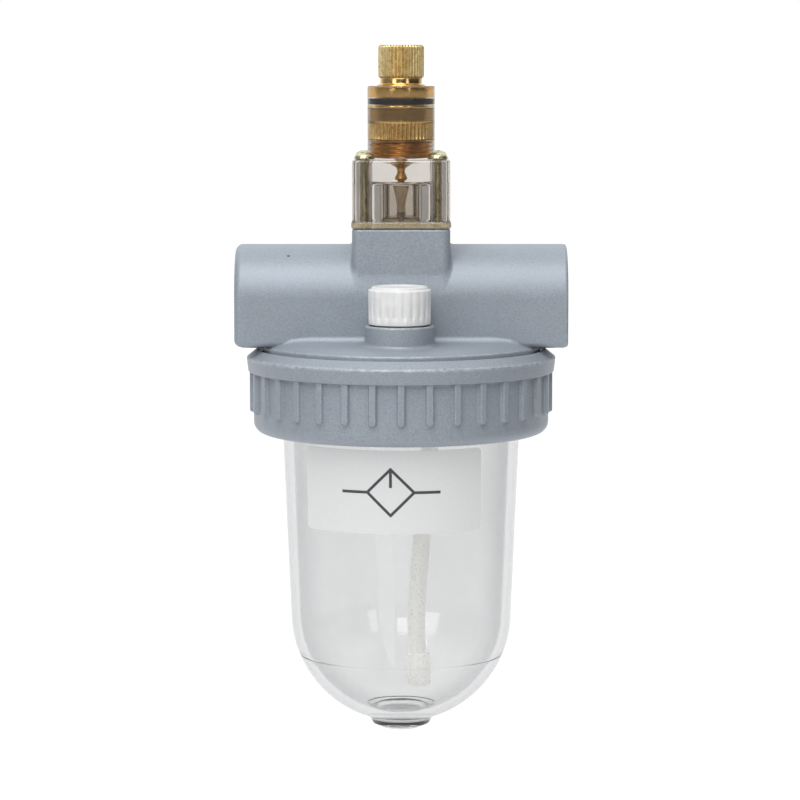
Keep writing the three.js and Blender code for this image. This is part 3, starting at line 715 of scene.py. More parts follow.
def make_bowl():
    box = Box("bowl")
    flange, foot, top = box.half_x, box.foot, box.top
    centre, tangent, wall = BOWL.tangent_z, BOWL.tangent, BOWL.wall
    inner = tangent - wall
    boss_start = -math.degrees(math.acos(BOSS.radius / tangent))
    witness = centre - 11.0
    witness_angle = math.degrees(math.asin((witness - centre) / inner))
    boss = rounded([
        (0, foot + 0.9), (2.6, foot + 0.9, 0.25), (3.1, foot, 0.3), (BOSS.tip, foot, 0.4),
        (7.0, foot + 0.75, 0.3), (7.9, foot + 1.2, 0.3), (BOSS.radius, foot + BOSS.shoulder, 0.4),
        (BOSS.radius + 0.2, foot + BOSS.shoulder + 0.35, 0.3),
        (BOSS.radius + 1.6, centre + tangent * math.sin(math.radians(boss_start)) + 0.6),
    ], steps=4)
    side = arc(0, centre, tangent, boss_start + 3.4, 0, 40)
    collar = rounded([
        (BOWL.neck, BOWL.neck_z), (BOWL.neck + 0.1, top - BOWL.flange_foot, 0.8),
        (flange, top - BOWL.flange_foot, 0.4), (flange, top, 0.4), (BOWL.neck - wall, top, 0.5),
        (inner, centre),
    ], steps=5)
    inside = [point for point in arc(0, centre, inner, 0, witness_angle + 0.6, 16)]
    groove = [(r - 0.07, z) for r, z in arc(0, centre, inner, witness_angle + 0.35, witness_angle - 0.35, 3)]
    lower = arc(0, centre, inner, witness_angle - 0.6, -90 + 14.5, 28)
    well = rounded([
        (6.9, centre - inner + 0.55), (6.3, centre - inner - 0.55, 0.7), (0, centre - inner - 0.75),
    ], steps=5)
    outline = np.array([*boss, *side, *collar[:-1], *inside, *groove, *lower, *well])
    points, faces = turn(dense(outline, 2.5), 160)
    shell = piece("bowl_shell", points, faces, "bowl_cup", CLEAR, ["bowl"], crease=50)
    shell.data.materials.append(FROSTED)
    is_gate = [max(points[i][2] for i in face) < foot + 1.0 for face in faces]
    shell.data.polygons.foreach_set("material_index", np.array(is_gate, np.int32))


def curved_plate(outline_rows, inner_radius, outer_radius):
    """A plate bent round the bowl. Its rows are (height, first arc length, last arc length), upwards."""
    columns = 72
    share = np.linspace(0, 1, columns)
    rows = len(outline_rows)
    layers = []
    for radius_of in (outer_radius, inner_radius):
        for height, first, last in outline_rows:
            radius = radius_of(height)
            angle = (first + (last - first) * share) / bowl_radius(height) - math.pi / 2
            around = [radius * np.cos(angle), radius * np.sin(angle), height + 0 * angle]
            layers.append(np.stack(around, axis=1))
    points = np.concatenate(layers)
    front = np.arange(rows * columns).reshape(rows, columns)
    back = front + rows * columns
    quads = []
    for index, step in ((front, 1), (back, -1)):
        around = [index[:-1, :-1], index[:-1, 1:], index[1:, 1:], index[1:, :-1]]
        quads.append(np.stack(around[::step], axis=2).reshape(-1, 4))
    edge = np.concatenate([front[0, :-1], front[:-1, -1], front[-1, :0:-1], front[:0:-1, 0]])
    next_edge = np.roll(edge, -1)
    quads.append(np.stack([edge, edge + rows * columns, next_edge + rows * columns, next_edge], axis=1))
    quads = np.concatenate(quads)
    if not outward(points, quads):
        quads = quads[:, ::-1]
    return points, quads.tolist()


def make_label():
    box = Box("label")
    corner = LABEL.corner
    level = (box.foot + box.top) / 2
    first, last = (math.radians(side) * bowl_radius(level) for side in (LABEL.first, LABEL.last))
    inset = corner * (1 - np.cos(np.linspace(0, math.pi / 2, 7)))
    ends = [(box.foot + a, corner - math.sqrt(max(corner**2 - (corner - a) ** 2, 0))) for a in inset]
    middle = [(z, 0.0) for z in np.linspace(box.foot + corner, box.top - corner, 8)[1:-1]]
    rows = ends + middle + [(box.top + box.foot - z, pull) for z, pull in reversed(ends)]
    plate = [(z, first + pull, last - pull) for z, pull in rows]
    stand, thickness = LABEL.stand, LABEL.thickness
    points, faces = curved_plate(
        plate, lambda z: bowl_radius(z) + stand, lambda z: bowl_radius(z) + stand + thickness
    )
    piece("label_sheet", points, faces, "bowl_cup", FILM, ["label"], crease=50)
    make_symbol(first, last, box.foot, box.top)


def make_symbol(first, last, foot, top):
    """The drawing sign for a lubricator: a diamond on a flow line, with a short tick for the oil feed."""
    middle, level, size, line = (first + last) / 2, (foot + top) / 2, 6.2, 0.75
    stand = LABEL.stand + LABEL.thickness
    corners = [(middle + size, level), (middle, level + size), (middle - size, level), (middle, level - size)]
    strokes = [(a, b) for a, b in zip(corners, corners[1:] + corners[:1])]
    strokes += [((middle - 2.1 * size, level), (middle - size, level))]
    strokes += [((middle + size, level), (middle + 2.1 * size, level))]
    strokes += [((middle, level + size), (middle, level + 0.25 * size))]
    for number, (start, end) in enumerate(strokes):
        start, end = np.array(start), np.array(end)
        along = (end - start) / np.linalg.norm(end - start)
        across = np.array([-along[1], along[0]]) * line / 2
        start, end = start - along * line * 0.35, end + along * line * 0.35
        steps = 14
        points = []
        for k in range(steps + 1):
            spot = start + (end - start) * k / steps
            for side, lift in ((1, 0.0), (1, 0.05), (-1, 0.05), (-1, 0.0)):
                s, z = spot + across * side
                angle = s / bowl_radius(level) - math.pi / 2
                radius = bowl_radius(z) + stand + lift + 0.004 * (number + 1)
                points.append((radius * math.cos(angle), radius * math.sin(angle), z))
        points = np.array(points)
        index = np.arange(len(points)).reshape(-1, 4)
        quads = np.vstack([skin(index), index[:1, ::-1], index[-1:]])
        faces = (quads if outward(points, quads) else quads[:, ::-1]).tolist()
        piece(f"label_symbol_{number + 1}", points, faces, "bowl_cup", INK)


# ---------------------------------------------------------------- sight dome

DOME = Sizes(half=13.25, corner=2.3, flange=1.5, shoulder=37.3, screws=9.85, screw_hole=2.05)
TOWER = Sizes(radius=9.15, bore=6.6, pocket=5.3, pocket_top=42.1)
SIGHT = Sizes(radius=8.6, ceiling=31.4, roof=36.3, nozzle=0.85)
OILED = Sizes(inner=6.17, outer=7.2)
OIL_WAY = Sizes(radius=0.5, top_y=6.8, top_z=50.5)


def dome_field(box):
    foot, top = box.foot, box.top
    seal = Box("needle_o_ring")
    oil_foot = Box("valve_insert").top + 0.15
    oil_top = (seal.foot + seal.top) / 2 - SEAL.half_height - 0.95
    start = np.array([0.0, RISER.y, foot - 1.0])
    way = np.array([0.0, OIL_WAY.top_y, OIL_WAY.top_z]) - start
    length = np.linalg.norm(way)
    way = way / length

    def field(x, y, z):
        radius = hypot(x, y)
        block = meet(square(x, y, DOME.half, DOME.corner), slab(z, foot, DOME.shoulder), 0.5)
        brim = square(x, y, box.half_x, DOME.corner + 0.2)
        brim = meet(brim, slab(z, foot, foot + DOME.flange), 0.35)
        shape = join(block, brim, 0.4)
        shape = join(shape, bar(radius, z, TOWER.radius, foot + 1, top, 0.45), 0.9)
        shape = cut(shape, bar(radius, z, SIGHT.radius, foot - 3, SIGHT.ceiling, 1.0), 0.3)
        shape = cut(shape, bar(radius, z, SIGHT.nozzle, SIGHT.ceiling - 2, SIGHT.roof + 1), 0.1)
        shape = cut(shape, bar(radius, z, TOWER.pocket, SIGHT.roof, TOWER.pocket_top + 1), 0.2)
        mouth = clip(z - top + 0.55, 0, 0.6)
        well = meet((radius - TOWER.bore - mouth) * 0.9, slab(z, TOWER.pocket_top, top + 3), 0.2)
        shape = cut(shape, well, 0.2)
        oil = meet(slab(radius, OILED.inner, OILED.outer), slab(z, oil_foot, oil_top), 0.15)
        shape = minimum(shape, oil)
        screws = hypot(abs(x) - DOME.screws, abs(y) - DOME.screws)
        shape = cut(shape, bar(screws, z, DOME.screw_hole, foot - 3, DOME.shoulder + 3), 0.2)
        along = (y - start[1]) * way[1] + (z - start[2]) * way[2]
        across = hypot(x, (y - start[1]) * way[2] - (z - start[2]) * way[1])
        return cut(shape, bar(across, along, OIL_WAY.radius, 0, length), 0.1)

    return field


def make_dome():
    box = Box("sight_dome")
    foot = box.foot
    voxels = (0.4, 0.24)
    points, faces, glass = carved(
        "sight_glass", dome_field(box), box.ends(), voxels, SMOKED, "sight_dome"
    )
    mesh_value(glass, "thick", fade(points[:, 2], foot, DOME.shoulder - 0.3, 0.5))
    off_axis = hypot(points[:, 0], points[:, 1])
    in_chamber = (off_axis < SIGHT.radius + 0.3) & (points[:, 2] < SIGHT.ceiling)
    mesh_value(glass, "chamber", in_chamber.astype(float))
    glass.data.materials.append(OILY)
    glass.data.materials.append(STAINED)
    x, y, z = points[np.array(faces)].mean(axis=1).T
    in_bore = (hypot(x, y) < TOWER.bore + 0.2) & (z > SIGHT.roof + 0.3)
    at_foot = z < foot + DOME.flange - 0.1
    glass.data.polygons.foreach_set("material_index", np.where(at_foot, 2, in_bore).astype(np.int32))


def make_funnel():
    box = Box("drip_funnel")
    foot, top, radius = box.foot, box.top, box.half_x
    outline = rounded([
        (0.9, foot, 0.2), (radius, foot, 0.4), (radius, foot + 3.6, 0.5),
        (radius - 0.6, foot + 4.2, 0.3), (1.9, foot + 4.2, 0.5), (1.7, foot + 7.2, 0.6),
        (3.35, top, 0.2), (2.75, top, 0.15), (0.9, foot + 7.6, 0.6),
    ], closed=True, steps=5)
    points, faces = turn(dense(outline, 1.0, closed=True), 72, closed=True)
    piece("drip_cup", points, faces, "housing", DRIP, ["drip_funnel"], crease=50)


# ---------------------------------------------------------------- brass pieces in the dome

KNOB = Sizes(height=9.0, teeth=40, depth=0.42, chamfer=0.55, neck=5.7, dish=0.25)
STEM = Sizes(shoulder=6.63, waist=6.22, groove=4.3, stem=3.2, stem_pitch=0.8)
SEAL = Sizes(inner=4.45, outer=6.64, half_height=0.95)
INSERT = Sizes(band_height=5.1, teeth=40, depth=0.34, thread=5.82, bite=0.42, pitch=1.1, bore=3.5)


def make_needle():
    box, seal, insert = Box("needle_valve"), Box("needle_o_ring"), Box("valve_insert")
    top, radius, foot = box.top, box.half_x - 0.22, box.foot
    knob_foot = top - KNOB.height
    seal_z = (seal.foot + seal.top) / 2
    groove_low, groove_high = seal_z - SEAL.half_height - 0.15, seal_z + SEAL.half_height + 0.15
    shoulder, waist, stem = STEM.shoulder, STEM.waist, STEM.stem
    stem_foot, neck_foot = foot + 3.1, knob_foot - 1.8
    outline = rounded([
        (0, foot), (0.35, foot, 0.15), (0.95, stem_foot, 0.2), (stem, stem_foot, 0.25),
        (stem, insert.top + 0.15, 0.1), (waist, insert.top + 0.15, 0.1), (waist, groove_low - 0.8, 0.5),
        (shoulder, groove_low - 0.7, 0.2), (shoulder, groove_low, 0.12), (STEM.groove, groove_low, 0.2),
        (STEM.groove, groove_high, 0.2), (shoulder, groove_high, 0.12),
        (shoulder, neck_foot - 0.05, 0.25), (KNOB.neck, neck_foot + 0.4, 0.35),
        (KNOB.neck, knob_foot - 0.1, 0.3), (radius - KNOB.chamfer, knob_foot, 0.15),
        (radius, knob_foot + KNOB.chamfer, 0.2), (radius, top - KNOB.chamfer, 0.2),
        (radius - KNOB.chamfer, top, 0.2), (radius - 1.6, top, 0.3),
        (radius - 2.0, top - KNOB.dish, 0.3), (0, top - KNOB.dish),
    ], steps=4)
    outline = dense(dense(outline, 0.13, stem_foot, insert.top), 0.8, knob_foot, top)

    def relief(angle, radius_here, height):
        grip = (radius_here > KNOB.neck + 0.1) * fade(height, knob_foot + 0.35, top - 0.35, 0.3)
        knurl = KNOB.depth * grip * (1 - teeth(angle, KNOB.teeth))
        on_stem = (abs(radius_here - stem) < 0.01) * fade(height, stem_foot + 0.6, insert.top - 0.4, 0.3)
        helix = 0.4 * on_stem * (1 - thread_wave(angle, height, STEM.stem_pitch))
        return radius_here - knurl - helix

    points, faces = turn(outline, KNOB.teeth * 8, relief)
    knob = piece("needle_knob", points, faces, "needle", BRASS, ["needle_valve"], crease=45)
    knob.data.materials.append(BRIGHT_BRASS)
    is_bright = [max(points[i][2] for i in face) < knob_foot - 0.05 for face in faces]
    knob.data.polygons.foreach_set("material_index", np.array(is_bright, np.int32))
    # Painted shade on the waist below the seal, down to the insert.
    waist_shade = fade(points[:, 2], insert.top, groove_low - 0.9, 0.2)
    mesh_value(knob, "shaded", waist_shade * 0.8)
    mesh_value(knob, "oiled", 0.25 * fade(points[:, 2], groove_high, neck_foot, 0.1))
    squeezed = rounded([
        (SEAL.inner, seal_z - SEAL.half_height, 0.8), (SEAL.outer, seal_z - SEAL.half_height, 0.3),
        (SEAL.outer, seal_z + SEAL.half_height, 0.3), (SEAL.inner, seal_z + SEAL.half_height, 0.8),
    ], closed=True, steps=6)
    points, faces = turn(squeezed, 96, closed=True)
    piece("needle_ring", points, faces, "needle_seal", RUBBER, ["needle_o_ring"], crease=180)


def make_insert():
    box = Box("valve_insert")
    top, tip, band = box.top, box.foot, TOWER.bore + INSERT.bite
    band_foot, foot = top - INSERT.band_height, tip + 5.0
    outline = rounded([
        (0.6, tip, 0.08), (1.25, tip, 0.1), (1.75, tip + 0.6, 0.35), (1.0, tip + 2.2, 0.9),
        (1.2, foot - 1.6, 0.8), (3.0, foot - 0.5, 0.8), (INSERT.thread - 0.3, foot, 0.2),
        (INSERT.thread, foot + 0.4, 0.1), (INSERT.thread, band_foot, 0.2), (band - 0.3, band_foot, 0.1),
        (band, band_foot + 0.3, 0.15), (band, top - 0.5, 0.15), (band - 0.45, top, 0.15),
        (INSERT.bore + 0.3, top, 0.15), (INSERT.bore, top - 0.4, 0.1), (INSERT.bore, tip + 8.4, 0.3),
        (1.3, tip + 8.4, 0.2), (1.3, foot, 0.2), (0.6, foot - 0.5, 0.1),
    ], closed=True, steps=3)
    outline = dense(dense(outline, 0.14, foot, band_foot, closed=True), 0.8, closed=True)

    def relief(angle, radius, height):
        grip = (radius > INSERT.thread + 0.3) * fade(height, band_foot + 0.5, top - 0.7, 0.3)
        knurl = INSERT.depth * grip * (1 - teeth(angle, INSERT.teeth))
        on_shank = abs(radius - INSERT.thread) < 0.01
        helix = 0.46 * on_shank * (1 - thread_wave(angle, height, INSERT.pitch))
        return radius - knurl - helix

    points, faces = turn(outline, INSERT.teeth * 8, relief, closed=True)
    insert = piece("drip_insert", points, faces, "housing", OLD_BRASS, ["valve_insert"], crease=45)
    mesh_value(insert, "oiled", 0.75 * (points[:, 2] < band_foot + 0.3) + 0.1)


# ---------------------------------------------------------------- screws

SCREW = Sizes(shank=1.45, head=2.85, seat=2.5, head_height=2.05, pitch=0.5, recess=1.45, slot=0.34)


def screw_field(length):
    head_height = SCREW.head_height

    def field(x, y, z):
        radius = hypot(x, y)
        helix = 0.2 * (1 - thread_wave(np.arctan2(y, x), z, SCREW.pitch))
        threaded = clip((-1.6 - z) / 0.4, 0, 1)
        point = clip(-length + 0.6 - z, 0, 0.6)
        shank = maximum((radius - SCREW.shank + helix * threaded + point) * 0.8, slab(z, -length, 0.4))
        crown = np.sqrt(radius**2 + (z - head_height + 3.6) ** 2) - 3.6
        head = meet(meet(radius - SCREW.head, slab(z, 0, head_height), 0.35), crown, 0.5)
        shape = join(head, shank, 0.15)
        sunk = head_height - z
        draft = clip(sunk, 0, 2) * 0.28
        across, along = abs(x + y) / 1.414, abs(x - y) / 1.414
        narrow, wide = SCREW.slot, SCREW.recess - draft
        arm = minimum(
            maximum(across - narrow, along - wide), maximum(along - narrow, across - wide)
        )
        return cut(shape, maximum(arm, sunk - 1.3), 0.08)

    return field


def make_screws():
    first = Box("dome_screw_1")
    length = first.top - first.foot - SCREW.seat
    head = SCREW.head
    field = screw_field(length)
    low, high = (-head, -head, -length), (head, head, SCREW.head_height)
    points, faces, normals = carve(field, low, high, 0.11)
    points = clip(points, low, high)
    for number in range(1, 5):
        box = Box(f"dome_screw_{number}")
        turned = math.radians(17 * number)
        spin = np.array([
            [math.cos(turned), -math.sin(turned), 0],
            [math.sin(turned), math.cos(turned), 0],
            [0, 0, 1],
        ])
        placed = points @ spin.T + np.array([0, 0, box.top - SCREW.seat])
        name, node = f"pan_screw_{number}", f"dome_screw_{number}"
        piece(name, placed, faces, "housing", ZINC, [node], normals @ spin.T, box.at)


# ---------------------------------------------------------------- filler plug

PLUG = Sizes(step=7.45, step_height=0.8, skirt=1.7, shank=6.4, length=7.5, flutes=22, depth=0.34)


def make_plug():
    box = Box("filler_plug")
    top, foot, radius = box.top, box.foot, box.half_x
    collar, fluted_top = foot + PLUG.length, top - PLUG.step_height
    skirt_top = collar + PLUG.skirt
    shank = PLUG.shank
    outline = rounded([
        (0, foot + 4.5), (shank - 1.6, foot + 4.5, 0.6), (shank - 1.6, foot, 0.4),
        (shank - 0.5, foot, 0.4), (shank, foot + 0.6, 0.2), (shank, collar, 0.2),
        (radius - 0.15, collar, 0.25), (radius - 0.1, skirt_top, 0.2), (radius, fluted_top, 0.45),
        (PLUG.step + 0.1, fluted_top + 0.1, 0.25), (PLUG.step, top, 0.4), (PLUG.step - 0.9, top, 0.3),
        (PLUG.step - 1.2, top - 0.35, 0.3), (0, top - 0.35),
    ], steps=5)
    outline = dense(dense(outline, 0.3, skirt_top - 0.6, fluted_top), 0.2, foot + 0.5, collar - 0.2)

    def relief(angle, radius_here, height):
        pitch = FULL / PLUG.flutes
        side = ((angle + pitch / 2) % pitch - pitch / 2) * radius
        above = maximum(skirt_top + 0.55 - height, 0)
        beyond = hypot(side, above) / 0.62
        deep = clip(1 - beyond**2, 0, 1) ** 0.5
        along = 0.35 + 0.65 * fade(height, skirt_top, skirt_top + 1.2, 3.0)
        outer = (radius_here > radius - 0.7) * fade(height, skirt_top - 0.5, fluted_top - 0.3, 0.5)
        grooves = PLUG.depth * outer * deep * along
        on_shank = (abs(radius_here - shank) < 0.01) * fade(height, foot + 1.0, collar - 1.2, 0.4)
        return radius_here - grooves - 0.55 * on_shank * (1 - thread_wave(angle, height, 1.5))

    points, faces = turn(outline, PLUG.flutes * 16, relief)
    piece("filler_cap", points, faces, "plug", WHITE, ["filler_plug"], at=box.at, crease=50)
    seal = Box("filler_plug_o_ring")
    ring = arc(7.2, (seal.foot + seal.top) / 2, 0.5, 0, 360, 20)[:-1]
    points, faces = turn(np.array(ring), 96, closed=True)
    nodes = ["filler_plug_o_ring"]
    piece("filler_ring", points, faces, "plug_seal", RUBBER, nodes, at=seal.at, crease=180)


# ---------------------------------------------------------------- siphon and inner pieces

TUBE = Sizes(outer=2.5, inner=1.8)
ROUTE = [(8, -27.9), (8, -33.9), (7.0, -52), (5.2, -72), (4.2, -88), (4.35, -96), (4.8, -104)]


def smooth_route(points, per_span):
    """A centripetal Catmull-Rom line through the points."""
    points = np.array(points, float)
    line = np.vstack([2 * points[0] - points[1], points, 2 * points[-1] - points[-2]])
    out = []
    for p0, p1, p2, p3 in zip(line[:-3], line[1:-2], line[2:-1], line[3:]):
        near = (p0, p1, p2, p3)
        gaps = [np.linalg.norm(b - a) ** 0.5 for a, b in zip(near, near[1:])]
        knots = [0.0, *np.cumsum(gaps)]
        for t in np.linspace(knots[1], knots[2], per_span, endpoint=False):
            level = near
            for spans in (((0, 1), (1, 2), (2, 3)), ((0, 2), (1, 3)), ((1, 2),)):
                level = [
                    ((knots[b] - t) * level[k] + (t - knots[a]) * level[k + 1]) / (knots[b] - knots[a])
                    for k, (a, b) in enumerate(spans)
                ]
            out.append(level[0])
    return np.array([*out, points[-1]])


def make_siphon():
    path = smooth_route(ROUTE, 14)
    along = np.gradient(path, axis=0)
    along /= np.linalg.norm(along, axis=1)[:, None]
    side = np.stack([-along[:, 1], 0 * along[:, 0], along[:, 0]], axis=1)
    middle = np.insert(path, 1, 0, axis=1)
    rings = [sweep(middle, side, (0, 1, 0), radius, 40) for radius in (TUBE.outer, TUBE.inner)]
    wall = np.concatenate([rings[0], rings[1][::-1]])
    points = wall.reshape(-1, 3)
    index = np.arange(len(points)).reshape(len(wall), -1)
    index = np.vstack([index, index[:1]])
    quads = skin(index)
    if not outward(points, quads):
        quads = quads[:, ::-1]
    piece("oil_tube", points, quads.tolist(), "housing", NYLON, ["siphon_tube"], crease=50)
    make_strainer(along[-1], path[-1])


def make_strainer(direction, end):
    outline = rounded([
        (0.9, -4.0, 0.15), (3.0, -4.0, 0.5), (3.3, -3.2, 0.3), (3.3, 4.2, 0.1), (3.3, 5.0, 0.15),
        (2.8, 5.0, 0.15), (2.8, -0.3, 0.2), (1.9, -0.3, 0.2), (1.9, -3.2, 0.2), (0.9, -3.2, 0.15),
    ], closed=True, steps=4)
    outline = dense(outline, 0.5, closed=True)

    def relief(angle, radius, height):
        slots = (radius > 3.2) * fade(height, -2.6, 3.6, 0.3) * (1 - teeth(angle, 16))
        return radius - 0.28 * slots

    points, faces = turn(outline, 128, relief, closed=True)
    lean = math.asin(direction[0])
    spin = np.array([
        [math.cos(lean), 0, -math.sin(lean)],
        [0, 1, 0],
        [math.sin(lean), 0, math.cos(lean)],
    ])
    points = points @ spin.T + np.array([end[0], 0, end[1]])
    piece("strainer_sleeve", points, faces, "housing", NYLON, ["siphon_strainer"], crease=45)


def make_adapter():
    box = Box("siphon_adapter")
    foot, top, head = box.foot, box.top, box.half_x
    barb = [(1.5, foot + 0.2 + 1.4 * k + step, 0.05) for k in range(3) for step in (0, 1.3)]
    barb = [(r + (0.16 if i % 2 else -0.12), z, fillet) for i, (r, z, fillet) in enumerate(barb)]
    outline = rounded([
        (0.7, foot, 0.1), (1.3, foot, 0.1), *barb,
        (1.45, foot + 6.0, 0.2), (head - 0.3, foot + 6.0, 0.1), (head, foot + 6.3, 0.15),
        (head, foot + 9.0, 0.2), (head - 0.3, foot + 9.3, 0.1), (2.4, foot + 9.3, 0.15),
        (2.4, top, 0.2), (1.7, top, 0.15), (1.7, foot + 6.8, 0.3), (0.7, foot + 6.4, 0.1),
    ], closed=True, steps=3)

    def relief(angle, radius, height):
        flat = (head * 0.93) / maximum(np.cos((angle + FULL / 12) % (FULL / 6) - FULL / 12), 0.5)
        return np.where(radius > 2.9, minimum(radius, flat), radius)

    points, faces = turn(dense(outline, 0.6, closed=True), 96, relief, closed=True)
    nodes = ["siphon_adapter"]
    piece("check_adapter", points, faces, "housing", OLD_BRASS, nodes, at=box.at, crease=35)


def make_ball(node, name, body):
    box = Box(node)
    radius, middle = box.half_x, (box.foot + box.top) / 2
    outline = arc(0, middle, radius, -90, 90, 36)
    outline = np.array([(max(r, 0) if 0 < i < 36 else 0, z) for i, (r, z) in enumerate(outline)])
    points, faces = turn(outline, 72)
    piece(name, points, faces, body, BALL_STEEL, [node], at=box.at, crease=180)


def make_post():
    box = Box("nozzle_post")
    radius = box.half_x

    def field(x, y, z):
        distance = hypot(x, y)
        shape = bar(distance, z, radius, box.foot, box.top, 0.3)
        for groove in (box.foot + 3.0, box.top - 4.0):
            shape = cut(shape, bar(abs(distance - radius), z, 0.25, groove, groove + 0.8, 0.1), 0.08)
        shape = cut(shape, bar(distance, z, 0.8, 0, box.top + 2), 0.15)
        shape = cut(shape, bar(hypot(y, z - 0.9), x, 0.8, 0, radius + 2), 0.15)
        shape = cut(shape, bar(distance, z, 1.2, box.foot - 2, -2.3), 0.15)
        return cut(shape, bar(hypot(y, z + 3.2), x, 0.9, -radius - 2, 0), 0.15)

    ends = (-radius, -radius, box.foot), (radius, radius, box.top)
    carved("air_post", field, ends, (0.3, 0.16), OLD_BRASS, "nozzle_post")


def make_cutoff_seat():
    box = Box("cutoff_seat")
    head_top, hexagon, stem = box.foot + 6.1, 4.4, 3.1

    def field(x, y, z):
        distance = hypot(x, y)
        flats = maximum(abs(y), maximum(abs(x * 0.866 + y * 0.5), abs(x * 0.866 - y * 0.5)))
        head = meet(flats - hexagon * 0.866, slab(z, box.foot, head_top), 0.15)
        head = meet(head, (distance - hexagon * 0.98 + (abs(z - box.foot - 3.05) - 2.6)) * 0.7, 0.2)
        shape = join(head, bar(distance, z, stem, head_top - 0.5, box.top, 0.3), 0.2)
        shape = cut(shape, bar(distance, z, 2.0, box.foot + 1.2, box.top - 1.6), 0.15)
        shape = cut(shape, bar(distance, z, 0.9, box.top - 2.6, box.top + 2), 0.2)
        return cut(shape, bar(distance, z, 0.8, box.foot - 2, box.foot + 2.2), 0.2)

    ends = (-hexagon, -hexagon, box.foot), (hexagon, hexagon, box.top)
    carved("cutoff_body", field, ends, (0.3, 0.16), OLD_BRASS, "cutoff_seat")


def make_spring():
    box = Box("cutoff_spring")
    wire, turns, around = 0.22, 6, 12
    low, high = box.foot + wire, box.top - wire
    steps = turns * 36
    share = np.linspace(0, 1, steps + 1)
    lift = clip((share * turns - 0.75) / (turns - 1.5), 0, 1)
    angle = share * turns * FULL
    centre = np.stack([1.4 * np.cos(angle), 1.4 * np.sin(angle), low + (high - low) * lift], axis=1)
    away = np.stack([np.cos(angle), np.sin(angle), 0 * angle], axis=1)
    points = sweep(centre, away, (0, 0, 1), wire, around).reshape(-1, 3)
    index = np.arange(len(points)).reshape(-1, around)
    quads = skin(index)
    faces = [*quads.tolist(), index[0].tolist(), index[-1].tolist()[::-1]]
    if not outward(points, quads):
        faces = [face[::-1] for face in faces]
    nodes = ["cutoff_spring"]
    spring = piece("return_spring", points, faces, "housing", SPRING_STEEL, nodes, crease=60)
    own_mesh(spring)


def make_gaskets():
    bowl = Box("bowl_gasket")
    outline = rounded([
        (31.5, bowl.foot, 0.3), (bowl.half_x, bowl.foot, 0.3), (bowl.half_x, bowl.top, 0.3),
        (31.5, bowl.top, 0.3),
    ], closed=True, steps=4)
    points, faces = turn(dense(outline, 1.2, closed=True), 144, closed=True)
    piece("bowl_seal_ring", points, faces, "bowl_seal", RUBBER, ["bowl_gasket"], crease=50)
    dome = Box("dome_gasket")

    def field(x, y, z):
        distance = hypot(x, y)
        ring = meet(distance - dome.half_x, slab(z, dome.foot, dome.top), 0.2)
        ring = cut(ring, bar(distance, z, 7.4, dome.foot - 2, dome.top + 2), 0.2)
        return cut(ring, bar(hypot(x, y - RISER.y), z, 1.1, dome.foot - 2, dome.top + 2), 0.1)

    carved("dome_seal_ring", field, dome.ends(), (0.25, 0.25), RUBBER, "dome_gasket")


# ---------------------------------------------------------------- stage

AIM = Vector((0, 0, -0.03))
CAMERA = Sizes(target=(-0.0003, 0, -0.0286), elevation=6.2, distance=0.86, lens=141.2)


def softbox(name, azimuth, elevation, distance, size, radiance):
    """A rectangular light that faces the object. Azimuth 0 is the camera's side and grows to the right."""
    side, rise = math.radians(azimuth), math.radians(elevation)
    way = Vector((math.sin(side) * math.cos(rise), -math.cos(side) * math.cos(rise), math.sin(rise)))
    data = bpy.data.lights.new(name, "AREA")
    data.shape = "RECTANGLE"
    data.size, data.size_y = size
    data.energy = radiance * math.pi * size[0] * size[1]
    light = add_object(name, data)
    light.location = AIM + way * distance
    light.rotation_euler = (-way).to_track_quat("-Z", "Y").to_euler()


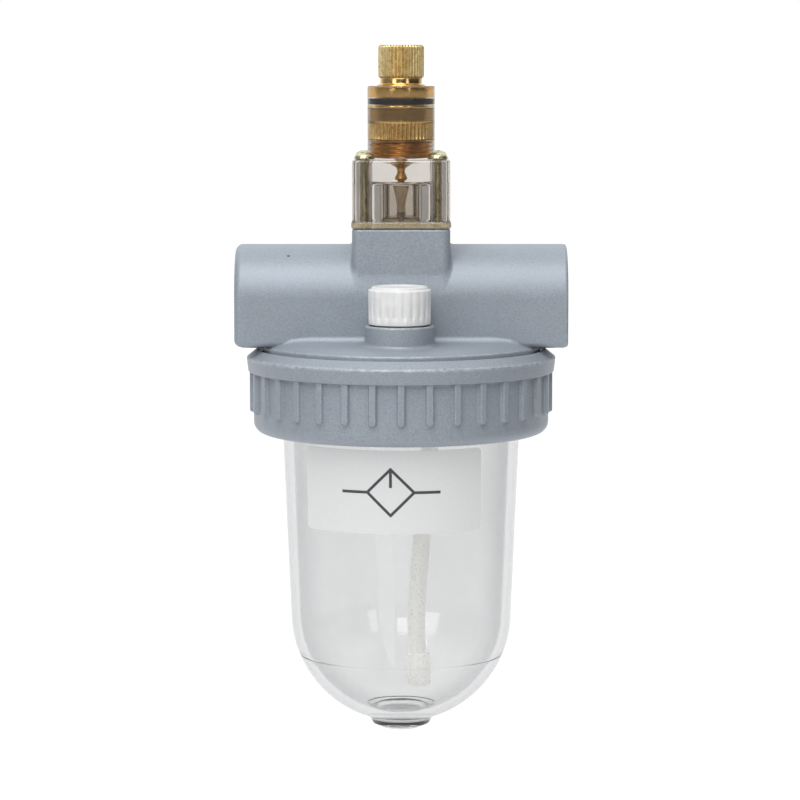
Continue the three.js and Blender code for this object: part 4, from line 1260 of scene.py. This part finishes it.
def make_floor():
    count, radius, level = 96, 80.0, -0.155
    angles = [FULL * k / count for k in range(count)]
    rim = [(radius * math.cos(angle), radius * math.sin(angle), level) for angle in angles]
    mesh = bpy.data.meshes.new("floor")
    mesh.from_pydata(rim, [], [list(range(count))])
    look = Look("floor_white", Specular_IOR_Level=0.0, Roughness=0.9, Emission_Color=rgb(1, 1, 1))
    place = look.node("ShaderNodeSeparateXYZ", {"Vector": look.where}).outputs
    beside = look.math("MULTIPLY", look.math("ABSOLUTE", place["X"]), -0.95)
    beside = look.math("ADD", beside, look.math("MINIMUM", look.math("MULTIPLY", place["X"], -0.35), 0.0))
    glow = look.remap(look.math("ADD", place["Y"], beside), -0.70, -0.12, 0.36, 0.96)
    seen = look.math("MULTIPLY", look.node("ShaderNodeLightPath").outputs["Is Camera Ray"], 0.97)
    look.feed(look.shader.inputs["Emission Strength"], look.math("MAXIMUM", glow, seen))
    look.colour(look.mix(look.noise(300, 2, 0.5), rgb(0.10, 0.10, 0.10), rgb(0.12, 0.12, 0.12)))
    mesh.materials.append(look.material)
    add_object("floor", mesh)


def make_world():
    """A white sweep behind the object, and a dim room in front that is lighter on the left."""
    world = bpy.data.worlds.new("studio")
    world.use_nodes = True
    sky = Nodes(world.node_tree, "Generated")
    place = sky.node("ShaderNodeSeparateXYZ", {"Vector": sky.where}).outputs
    behind, left = sky.remap(place["Y"], 0.35, 0.80, 0.0, 0.88), sky.remap(place["X"], -0.9, 0.5, 0.24, 0.04)
    above = sky.remap(place["Z"], 0.45, 0.95, 0.0, 0.95)
    total = sky.math("ADD", sky.math("ADD", behind, left), above)
    seen = sky.node("ShaderNodeLightPath").outputs["Is Camera Ray"]
    sky.feed(sky.tree.nodes["Background"].inputs["Color"], sky.math("MAXIMUM", total, seen))
    bpy.context.scene.world = world


def make_camera():
    target, elevation = Vector(CAMERA.target), math.radians(CAMERA.elevation)
    back = Vector((0, -math.cos(elevation), math.sin(elevation)))
    data = bpy.data.cameras.new("camera")
    data.lens = CAMERA.lens
    data.sensor_width = 36
    data.clip_start, data.clip_end = 0.05, 200
    camera = add_object("camera", data)
    camera.location = target + back * CAMERA.distance
    camera.rotation_euler = (-back).to_track_quat("-Z", "Y").to_euler()
    bpy.context.scene.camera = camera


def make_stage():
    make_floor()
    make_world()
    softbox("left_window", -38, 18, 1.5, (0.50, 0.62), 2.7)
    softbox("middle_window", -3, 26, 1.6, (0.42, 0.66), 3.3)
    softbox("right_window", 35, 16, 1.6, (0.28, 0.70), 1.9)
    softbox("overhead", -14, 54, 1.3, (1.00, 0.95), 3.3)
    make_camera()
    bpy.context.scene.view_settings.view_transform = "Standard"
    bpy.context.scene.view_settings.look = "None"


make_housing()
make_ring_nut()
make_bowl()
make_label()
make_dome()
make_funnel()
make_needle()
make_insert()
make_screws()
make_plug()
make_siphon()
make_adapter()
make_ball("check_ball", "check_ball_sphere", "check_valve")
make_ball("cutoff_ball", "cutoff_ball_sphere", "cutoff")
make_post()
make_cutoff_seat()
make_spring()
make_gaskets()
make_stage()
